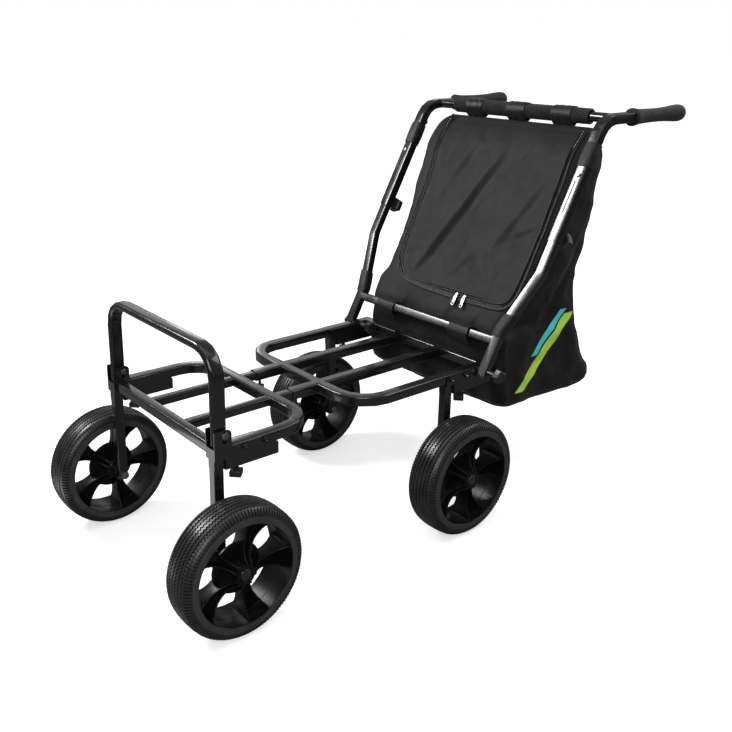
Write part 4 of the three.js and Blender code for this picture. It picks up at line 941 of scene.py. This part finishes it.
# A nylon coil zip runs round the flap between two lines of fabric piping. Its tape is sewn to the
# bag, and two zinc pulls meet in the middle of the flap's lower edge.
ZIP_WIDTH = 9
ZIP_PROUD = 1.4
ZIP_LINE_STEP, ZIP_LINE_ROUNDS = 6.0, 3
FLAP_LOWER_EDGE = [(-40, 468), (40, 467), (120, 467), (172, 468.5)]
FLAP_MIDDLE = (30, 660)
TAPE_COLUMNS = 4
COIL_STEP, COIL_AT, COIL_NECK = 0.9, 1.2, 0.62


def to_mesh(name, curve):
    """An active mesh object made from a curve."""
    piece = bpy.data.objects.new(name, curve)
    bpy.context.scene.collection.objects.link(piece)
    make_active(piece)
    bpy.ops.object.convert(target="MESH")
    return bpy.context.object


def cord(name, points, radius, sides=12, radii=(1,)):
    """A round cord along points, its ends closed, as a mesh. The radii's shares come in turn."""
    curve = bpy.data.curves.new(name, "CURVE")
    curve.dimensions = "3D"
    curve.bevel_depth = radius * MM
    curve.bevel_resolution = sides // 4
    curve.use_fill_caps = True
    line = curve.splines.new("POLY")
    line.points.add(len(points) - 1)
    for i, point in enumerate(points):
        line.points[i].co = (*point, 1)
        line.points[i].radius = radii[i % len(radii)]
    return to_mesh(name, curve)


def dense(points, step):
    """Points at an even step along a line of (x, z) points."""
    made = []
    carry = 0.0
    for start, end in zip(points, points[1:]):
        start, end = Vector(start), Vector(end)
        length = (end - start).length
        while carry < length:
            made.append(start.lerp(end, carry / length))
            carry += step
        carry -= length
    return made


def softened(points, rounds):
    """A line of points with its corners eased; its two ends stay."""
    for _ in range(rounds):
        eased = [(a + b * 2 + c) / 4 for a, b, c in zip(points, points[1:], points[2:])]
        points = [points[0], *eased, points[-1]]
    return points


def outward(line, offset):
    """A line along the flap's edge, moved outwards from the flap's middle."""
    moved = []
    for i, point in enumerate(line):
        along = (line[min(i + 1, len(line) - 1)] - line[max(i - 1, 0)]).normalized()
        normal = Vector((along.y, -along.x))
        if normal.dot(point - Vector(FLAP_MIDDLE)) < 0:
            normal = -normal
        moved.append(point + normal * offset)
    return moved


def on_front(line, proud):
    return [front_at(p.x, p.y, proud) for p in line]


flap_edge = [(x, z) for z, x in reversed(FLAP_LEFT)] + FLAP_LOWER_EDGE + [(x, z) for z, x in FLAP_RIGHT]
edge_line = softened(dense(flap_edge, ZIP_LINE_STEP), ZIP_LINE_ROUNDS)
for name, offset, proud, radius, body in (
    ("flap_piping", 0.3, FLAP_PROUD, 2.3, "flap"), ("zip_piping", ZIP_WIDTH + 3.3, 1.6, 2.2, "lower_handle"),
):
    piping = cord(name, on_front(outward(edge_line, offset), proud), radius)
    fitted(piping, webbing, 60, body, "bag_fabric")
tape_rows = []
for a, b in zip(outward(edge_line, 1.5), outward(edge_line, ZIP_WIDTH + 1.5)):
    across = [(a.x + (b.x - a.x) * k / TAPE_COLUMNS, a.y + (b.y - a.y) * k / TAPE_COLUMNS)
              for k in range(TAPE_COLUMNS + 1)]
    tape_rows.append([front_at(x, z, ZIP_PROUD) for x, z in across])
fitted(set_out("zip_tape", tape_rows), webbing, 180, "lower_handle", "bag_fabric")
coil_line = dense([tuple(p) for p in outward(edge_line, ZIP_WIDTH * 0.5 + COIL_AT)], COIL_STEP)
coil = cord("zip_coil", on_front(coil_line, ZIP_PROUD + 0.3), 1.9, sides=8, radii=(1, COIL_NECK))
fitted(coil, gloss, 50, "lower_handle", "gloss_plastic")

# The bag's mouth is open under the flap. The shell there is cut out a little beyond the zip's line,
# and the whole shell gets the cloth's thickness inwards.
MOUTH_LIP, MOUTH_TOP = 5, 822


def within(x, z, line):
    """Whether a point lies inside a closed line of points."""
    inside_line = False
    for here, after in zip(line, line[1:] + line[:1]):
        if (here.y > z) != (after.y > z):
            if x < here.x + (after.x - here.x) * (z - here.y) / (after.y - here.y):
                inside_line = not inside_line
    return inside_line


mouth = outward(edge_line, MOUTH_LIP)
make_active(bag)
bpy.ops.object.mode_set(mode="EDIT")
pick_faces(bag, lambda c, n: n.y < -0.3 and c.z < MOUTH_TOP and within(c.x, c.z, mouth))
bpy.ops.mesh.delete(type="FACE")
bpy.ops.object.mode_set(mode="OBJECT")
modified(bag, "SOLIDIFY", thickness=CLOTH_THICKNESS * MM, offset=-1)

# Bound seams close the bag's rear panel and its bottom, sewn through the shell's edges. A small
# tie of the same webbing is knotted round the zip's upper left end.
REAR_SEAM_RADIUS, BOTTOM_SEAM_RADIUS, TIE_RADIUS = 1.9, 1.5, 1.5
REAR_SEAM_TOP_ROW = BAG_ROWS - 4
TIE_AT = (-192, 829)
TIE_STEPS = [
    (0, 0, -3), (-1, -1.5, 4), (-2.5, -2, 9), (-2, -1, 13), (0, 0, 16), (2.4, 0.5, 13), (2, 0, 8), (0, 1, 2),
]
columns_of = (FRONT_COLUMNS, SIDE_COLUMNS, FRONT_COLUMNS, SIDE_COLUMNS)
seams = []
for hand, corner in (("right", 2), ("left", 3)):
    column = sum(columns_of[:corner]) + corner * CORNER_COLUMNS + CORNER_COLUMNS // 2
    seam_line = [rings[row][column] for row in range(BOTTOM_SEAM_ROW, REAR_SEAM_TOP_ROW, 2)]
    seams.append(cord(f"rear_seam_{hand}", seam_line, REAR_SEAM_RADIUS))
bottom = rings[BOTTOM_SEAM_ROW]
seams.append(cord("bottom_seam", [*bottom, bottom[0]], BOTTOM_SEAM_RADIUS))
tie_foot = front_at(*TIE_AT, 1.0)
seams.append(cord("zip_tie", [tie_foot + Vector(step) * MM for step in TIE_STEPS], TIE_RADIUS))
for seam in seams:
    fitted(seam, webbing, 60, "lower_handle", "bag_fabric")

# The two zip pulls are die-cast zinc, bright where hands rub them. Each is a slider on the coil
# and a tab with two holes that hangs from it, side by side on the zip's lower run.
LEAN = math.radians(28.6)
TAB_SIZE, TAB_THICKNESS, TAB_EDGE = (8.4, 27), 1.5, 0.35
TAB_HOLES = ((1.7, -4), (2.5, -22))
SLIDER_SIZE, SLIDER_THICKNESS, SLIDER_EDGE = (8.0, 8), 4.2, 1.1
PULL_Z, PULL_PROUD = 461, 5.0
TAB_PLACE, SLIDER_PLACE = (0, -1.4 * MM, 2 * MM), (0, 0.8 * MM, 7 * MM)
# Each pull's hand, its place across the bag, and its swing in degrees
PULLS = (("left", 68.5, 4), ("right", 92.5, -3))
ARC_STEPS, HOLE_STEPS = 10, 16


def flat_plate(name, outlines, thickness, edge):
    """A plate in the XZ plane from closed outlines of (x, z), the later ones its holes."""
    curve = bpy.data.curves.new(name, "CURVE")
    curve.dimensions = "2D"
    curve.fill_mode = "BOTH"
    curve.extrude = (thickness / 2 - edge) * MM
    curve.bevel_depth = edge * MM
    curve.bevel_resolution = 2
    for outline in outlines:
        line = curve.splines.new("POLY")
        line.points.add(len(outline) - 1)
        line.use_cyclic_u = True
        for point, (x, z) in zip(line.points, outline):
            point.co = (x * MM, z * MM, 0, 1)
    piece = to_mesh(name, curve)
    piece.data.transform(Matrix.Rotation(math.radians(90), 4, "X"))
    bpy.ops.object.mode_set(mode="EDIT")
    tidy_mesh()
    bpy.ops.object.mode_set(mode="OBJECT")
    return piece


def arc(radius, z, start, sweep, steps):
    """Points (x, z) along an arc about (0, z), both ends included."""
    angles = [start + sweep * k / steps for k in range(steps + 1)]
    return [(radius * math.cos(angle), z + radius * math.sin(angle)) for angle in angles]


def round_ended(width, length):
    """A strip's outline with round ends, centred on x and hanging from z = 0."""
    r = width / 2
    return arc(r, -r, 0, math.pi, ARC_STEPS) + arc(r, -length + r, math.pi, math.pi, ARC_STEPS)


def joined(*pieces):
    """Joins pieces into the last one."""
    make_active(*pieces)
    bpy.ops.object.join()


holes = [arc(radius, z, 0, math.tau, HOLE_STEPS)[:-1] for radius, z in TAB_HOLES]
pull_plate = flat_plate("pull_tab", [round_ended(*TAB_SIZE), *holes], TAB_THICKNESS, TAB_EDGE)
slider = flat_plate("slider", [round_ended(*SLIDER_SIZE)], SLIDER_THICKNESS, SLIDER_EDGE)
for hand, x, swing in PULLS:
    spot = Matrix.Translation(front_at(x, PULL_Z, PULL_PROUD)) @ Matrix.Rotation(-LEAN, 4, "X")
    hung = Matrix.Rotation(math.radians(swing), 4, "Y") @ Matrix.Translation(TAB_PLACE)
    tab = copied(pull_plate, f"made_zip_pull_{hand}", spot @ hung)
    body = copied(slider, "slider_copy", spot @ Matrix.Translation(SLIDER_PLACE))
    joined(body, tab)
    fitted(tab, zinc, 35, f"zip_pull_{hand}", "bright_steel", f"zip_pull_{hand}")
bpy.data.objects.remove(pull_plate)
bpy.data.objects.remove(slider)

# Fabric sleeves and bands hold the bag to the handle: a padded sleeve over each telescoping tube,
# a band round each lower tube, and two loops round the lower bar. Their edges are hemmed.
PIVOT_Y, PIVOT_Z = 380, 340
LOWER_HALF, SPLAY = 225.8, 42.2
SPLAY_FROM, SPLAY_LENGTH = 91, 146
BAND_SIDES, BAND_STEPS = 44, 12
# A band is thickest in its middle; its hem is thinner, and its lining stands off the tube
BAND_THICKNESS, BAND_EDGE, BAND_SWELL = 3.6, 0.82, 0.25
BAND_HEM, BAND_LINING = BAND_THICKNESS * 0.5, 0.5
SLEEVE_SPAN, SLEEVE_ROUND = (487, 542), (13, 11.5)
BAND_SPAN, BAND_ROUND = (80, 134), (11.3, 9.8)
CREASE_SIZE, BAND_CREASE = 45, 0.5


def on_handle(x, out, up):
    """A point given in the handle's own frame: across, behind its plane, and up along it."""
    sine, cosine = math.sin(LEAN), math.cos(LEAN)
    return shifted(x, PIVOT_Y + out * cosine + up * sine, PIVOT_Z - out * sine + up * cosine)


def tube_ring(centre, across, deep, roll=4.0):
    """A ring round a tube in the handle's frame: half width across, half depth, rounded."""
    ring = []
    for k in range(BAND_SIDES):
        angle = math.tau * k / BAND_SIDES
        c, s = math.cos(angle), math.sin(angle)
        reach = (abs(c) ** roll + abs(s) ** roll) ** (-1 / roll)
        ring.append(on_handle(centre[0] + across * reach * c, centre[1] + deep * reach * s, centre[2]))
    return ring


def crumpled(rings, size, seed, reach):
    """Rings of points, moved a little by noise."""
    return [[p + noise.noise_vector(p * size + Vector(seed)) * reach * MM for p in ring] for ring in rings]


def looped(name, rings, seed, reach):
    """A closed skin through rings that return to the first, a little crumpled."""
    rows = crumpled(rings, CREASE_SIZE, (seed, 0, 0), reach)
    return set_out(name, rows, round_across=True, round_along=True)


def tube_band(name, side, span, tube, seed):
    """A fabric band round a handle tube, over a span of the handle; tube is its half sizes."""

    def ring_at(share, grow):
        up = span[0] + (span[1] - span[0]) * share
        splayed = min(1.0, max(0.0, (up - SPLAY_FROM) / SPLAY_LENGTH))
        centre = (side * (LOWER_HALF + SPLAY * splayed), 0, up)
        return tube_ring(centre, tube[0] + grow, tube[1] + grow)

    rings = [ring_at(0, BAND_HEM)]
    for k in range(BAND_STEPS + 1):
        swell = BAND_THICKNESS * (BAND_EDGE + BAND_SWELL * math.sin(math.pi * k / BAND_STEPS))
        rings.append(ring_at(k / BAND_STEPS, swell))
    rings.append(ring_at(1, BAND_HEM))
    rings += [ring_at(k / BAND_STEPS, BAND_LINING) for k in range(BAND_STEPS, -1, -4)]
    return looped(name, rings, seed, BAND_CREASE)


for side, hand in ((1, "right"), (-1, "left")):
    sleeve = tube_band(f"made_tube_sleeve_{hand}", side, SLEEVE_SPAN, SLEEVE_ROUND, 3.0 + side)
    fitted(sleeve, webbing, 60, "upper_handle", "bag_fabric", f"tube_sleeve_{hand}")
    band = tube_band(f"lower_band_{hand}", side, BAND_SPAN, BAND_ROUND, 5.0 + side)
    fitted(band, webbing, 60, "lower_handle", "bag_fabric")

BAR_LOOP_AT, BAR_LOOP_WIDTH, BAR_LOOP_STEPS = 122, 58, 12
BAR_UP = 69.5
BAR_LOOP = [
    (13.5, -25), (-2, -19), (-9, -15.5), (-13, -10), (-14.2, 0), (-13.2, 8.5), (-9, 13.4), (0, 15), (9, 15.2),
    (15, 18),
]
BAR_LOOP_THICKNESS, BAR_LOOP_HEM = 2.2, 0.9
BAR_CREASE_SIZE, BAR_CREASE = 40, 0.9


def loop_ring(x, inset):
    """The loop's section at x: out along the bar's outside and back along its inside."""
    line = softened(dense(BAR_LOOP, 2.4), 2)
    thick = BAR_LOOP_THICKNESS - inset
    outer, inner = [], []
    for i, p in enumerate(line):
        along = (line[min(i + 1, len(line) - 1)] - line[max(i - 1, 0)]).normalized()
        outer.append(on_handle(x, p.x, BAR_UP + p.y))
        inner.append(on_handle(x, p.x + along.y * thick, BAR_UP + p.y - along.x * thick))
    return outer + inner[::-1]


for side, hand in ((1, "right"), (-1, "left")):
    rings = []
    for k in range(BAR_LOOP_STEPS + 1):
        x = side * BAR_LOOP_AT - BAR_LOOP_WIDTH / 2 + BAR_LOOP_WIDTH * k / BAR_LOOP_STEPS
        rings.append(loop_ring(x, BAR_LOOP_HEM if k in (0, BAR_LOOP_STEPS) else 0.0))
    rows = crumpled(rings, BAR_CREASE_SIZE, (side, 3, 1), BAR_CREASE)
    loop = set_out(f"bar_loop_{hand}", rows, round_across=True, capped=True)
    fitted(loop, webbing, 50, "lower_handle", "bag_fabric")

# Three loops of the bag's fabric go round the foam on the top bar and are sewn to a folded hem.
HANGER_AT = (-133, 0, 133)
HANGER_WIDTH, HANGER_STEPS, HANGER_SIDES = 54, 16, 64
HANGER_RADIUS, HANGER_THICKNESS = 18.6, 1.8
HANGER_DRAWN, HANGER_DRAWN_INSIDE = 5.2, 4.0
HANGER_EDGE, HANGER_WAVE, HANGER_CREASE = 0.7, 0.35, 0.3
HEM_HALF, HEM_STEPS, HEM_SIDES = 212, 60, 12
HEM_DROP, HEM_DROOP, HEM_DROOP_OVER = 25.8, 1.6, 40
HEM_ACROSS, HEM_HIGH = 2.0, 2.4


def hanger_ring(x, thick):
    """A round of fabric about the bar, drawn down to the hem below."""
    ring = []
    for k in range(HANGER_SIDES):
        angle = math.tau * k / HANGER_SIDES
        c, s = math.cos(angle), math.sin(angle)
        drawn = max(0.0, -s) ** 7 * (HANGER_DRAWN if thick else HANGER_DRAWN_INSIDE)
        out = HANGER_RADIUS + thick
        ring.append(bar + Vector((x, out * c, out * s - drawn)) * MM)
    return ring


hangers = []
for n, middle in enumerate(HANGER_AT):
    stations = [middle - HANGER_WIDTH / 2 + HANGER_WIDTH * k / HANGER_STEPS for k in range(HANGER_STEPS + 1)]
    rings = []
    for k, x in enumerate(stations):
        hemmed = HANGER_EDGE if k in (0, HANGER_STEPS) else 1.0
        rings.append(hanger_ring(x, HANGER_THICKNESS * hemmed + HANGER_WAVE * math.sin(k * 1.1 + n)))
    rings += [hanger_ring(x, 0) for x in stations[::-4]]
    hangers.append(looped(f"hanger_loop_{n}", rings, n * 3.0, HANGER_CREASE))
    dress(hangers[-1], webbing, 60)
hem_rings = []
for k in range(HEM_STEPS + 1):
    x = -HEM_HALF + 2 * HEM_HALF * k / HEM_STEPS
    droop = HEM_DROOP * min(1, min(abs(x - middle) for middle in HANGER_AT) / HEM_DROOP_OVER) ** 2
    ring = []
    for j in range(HEM_SIDES):
        c, s = math.cos(math.tau * j / HEM_SIDES), math.sin(math.tau * j / HEM_SIDES)
        ring.append(bar + Vector((x, HEM_ACROSS * c, -HEM_DROP - droop + HEM_HIGH * s)) * MM)
    hem_rings.append(ring)
hem = set_out("hem", hem_rings, round_across=True, capped=True)
dress(hem, webbing, 60)
joined(*hangers, hem)
hem.name = "made_bag_hanger"
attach(hem, "upper_handle")
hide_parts("bag_hanger")

# Black nylon plugs close the handle's lower tubes. They are pushed in, and stand a little proud
# of the tubes' ends.
# Their outline: a place along the handle, and how much larger than the tube it is there
PLUG_OUTLINE = [(-16.6, -2.4), (-16.4, -1.0), (-15.6, 0.3), (-13.2, 0.45), (-13.15, -1.0)]
PLUG_ROLL = 5.0
for side, hand in ((1, "right"), (-1, "left")):
    rings = [
        tube_ring((side * LOWER_HALF, 0, up), BAND_ROUND[0] + grow, BAND_ROUND[1] + grow, PLUG_ROLL)
        for up, grow in PLUG_OUTLINE
    ]
    plug = set_out(f"tube_plug_{hand}", rings, round_across=True, capped=True)
    fitted(plug, nylon, 40, "lower_handle", "black_plastic")

# The studio: a pale floor, a white surround that only the camera sees, and soft boxes where the
# photograph's highlights come from, left of the trolley in front and behind.
FLOOR_BOUNCE = (0.2, 0.2, 0.2, 1)
FLOOR_PALE = (0.84, 0.84, 0.84, 1), (0.88, 0.88, 0.88, 1)
FLOOR_SIZE, FLOOR_Z = 60, -0.0006
FLOOR_GLOW = 0.58
FLOOR_NEAR, FLOOR_FAR = 1.1, 2.6
WORLD_LIGHT = 0.2
WHITE = (1, 1, 1, 1)
# Soft boxes: name, direction from the target, target, distance, width, height, watts
SOFT_BOXES = [
    ("left_front", (-0.757, -0.570, 0.319), (0.384, 0.085, 1.306), 2.6, 0.54, 1.05, 56),
    ("left_behind", (-0.813, 0.517, 0.267), (0, -0.56, 0.6), 6.0, 0.5, 0.45, 2.6),
    ("back_wall", (-0.757, 0.577, 0.306), (0, -0.3, 0.35), 5.0, 4.0, 1.6, 11),
    ("above_behind", (0.30, 0.58, 0.76), (0, 0, 0.4), 2.6, 2.4, 0.9, 20),
    ("overhead", (0.1, -0.2, 1), (0, 0, 0.4), 2.6, 2.6, 2.2, 14),
    ("camera_side", (0.75, -0.85, 0.55), (0, 0, 0.4), 3.2, 1.6, 1.6, 34),
    ("rear_fill", (0.35, 1.0, 0.30), (0, 0.3, 0.5), 3.2, 1.6, 1.2, 8),
    ("floor_pool", (0, 0, -1), (-0.30, -0.90, 0.3), 0.298, 0.4, 0.3, 0.5),
]
# The camera is the photograph's: its place, the direction out of its back, lens and shift
CAMERA_AT, CAMERA_BACK = (1.448, -1.315, 1.055), (0.757, -0.577, 0.306)
CAMERA_SENSOR, CAMERA_LENS, CAMERA_SHIFT = 36, 44.25, (0.084, -0.067)

deselect()
bpy.ops.mesh.primitive_plane_add(size=FLOOR_SIZE, location=(0, 0, FLOOR_Z))
floor = bpy.context.object
floor.name = "floor"
pale, tree, shader = new_finish("pale_floor", Roughness=0.9, Specular_IOR_Level=0.1, Emission_Color=WHITE)
seen = add(tree, "LightPath").outputs["Is Camera Ray"]
pale_noise = blended(tree, noisy(tree, 3.0, 2.0), *FLOOR_PALE)
tree.links.new(blended(tree, seen, FLOOR_BOUNCE, pale_noise), shader.inputs["Base Color"])
from_middle = add(tree, "VectorMath", operation="LENGTH")
tree.links.new(add(tree, "TexCoord").outputs["Object"], from_middle.inputs[0])
glow = ranged(tree, from_middle.outputs["Value"], FLOOR_NEAR, FLOOR_FAR, FLOOR_GLOW, 1.0)
tree.links.new(maths(tree, "MULTIPLY", seen, glow), shader.inputs["Emission Strength"])
floor.data.materials.append(pale)

world = bpy.data.worlds.new("studio")
bpy.context.scene.world = world
world.use_nodes = True
tree = world.node_tree
background = tree.nodes["Background"]
background.inputs["Color"].default_value = WHITE
seen = add(tree, "LightPath").outputs["Is Camera Ray"]
tree.links.new(ranged(tree, seen, 0.0, 1.0, WORLD_LIGHT, 1.0), background.inputs["Strength"])

for name, towards, target, distance, width, height, watts in SOFT_BOXES:
    lamp = bpy.data.lights.new(name, "AREA")
    lamp.shape = "RECTANGLE"
    lamp.size, lamp.size_y = width, height
    lamp.energy = watts
    light = bpy.data.objects.new(name, lamp)
    direction = Vector(towards).normalized()
    light.location = Vector(target) + direction * distance
    light.rotation_euler = direction.to_track_quat("Z", "Y").to_euler()
    bpy.context.scene.collection.objects.link(light)

camera_data = bpy.data.cameras.new("camera")
camera_data.sensor_width = CAMERA_SENSOR
camera_data.lens = CAMERA_LENS
camera_data.shift_x, camera_data.shift_y = CAMERA_SHIFT
camera = bpy.data.objects.new("camera", camera_data)
camera.location = CAMERA_AT
camera.rotation_euler = Vector(CAMERA_BACK).to_track_quat("Z", "Y").to_euler()
bpy.context.scene.collection.objects.link(camera)
bpy.context.scene.camera = camera
bpy.context.scene.view_settings.view_transform = "Standard"
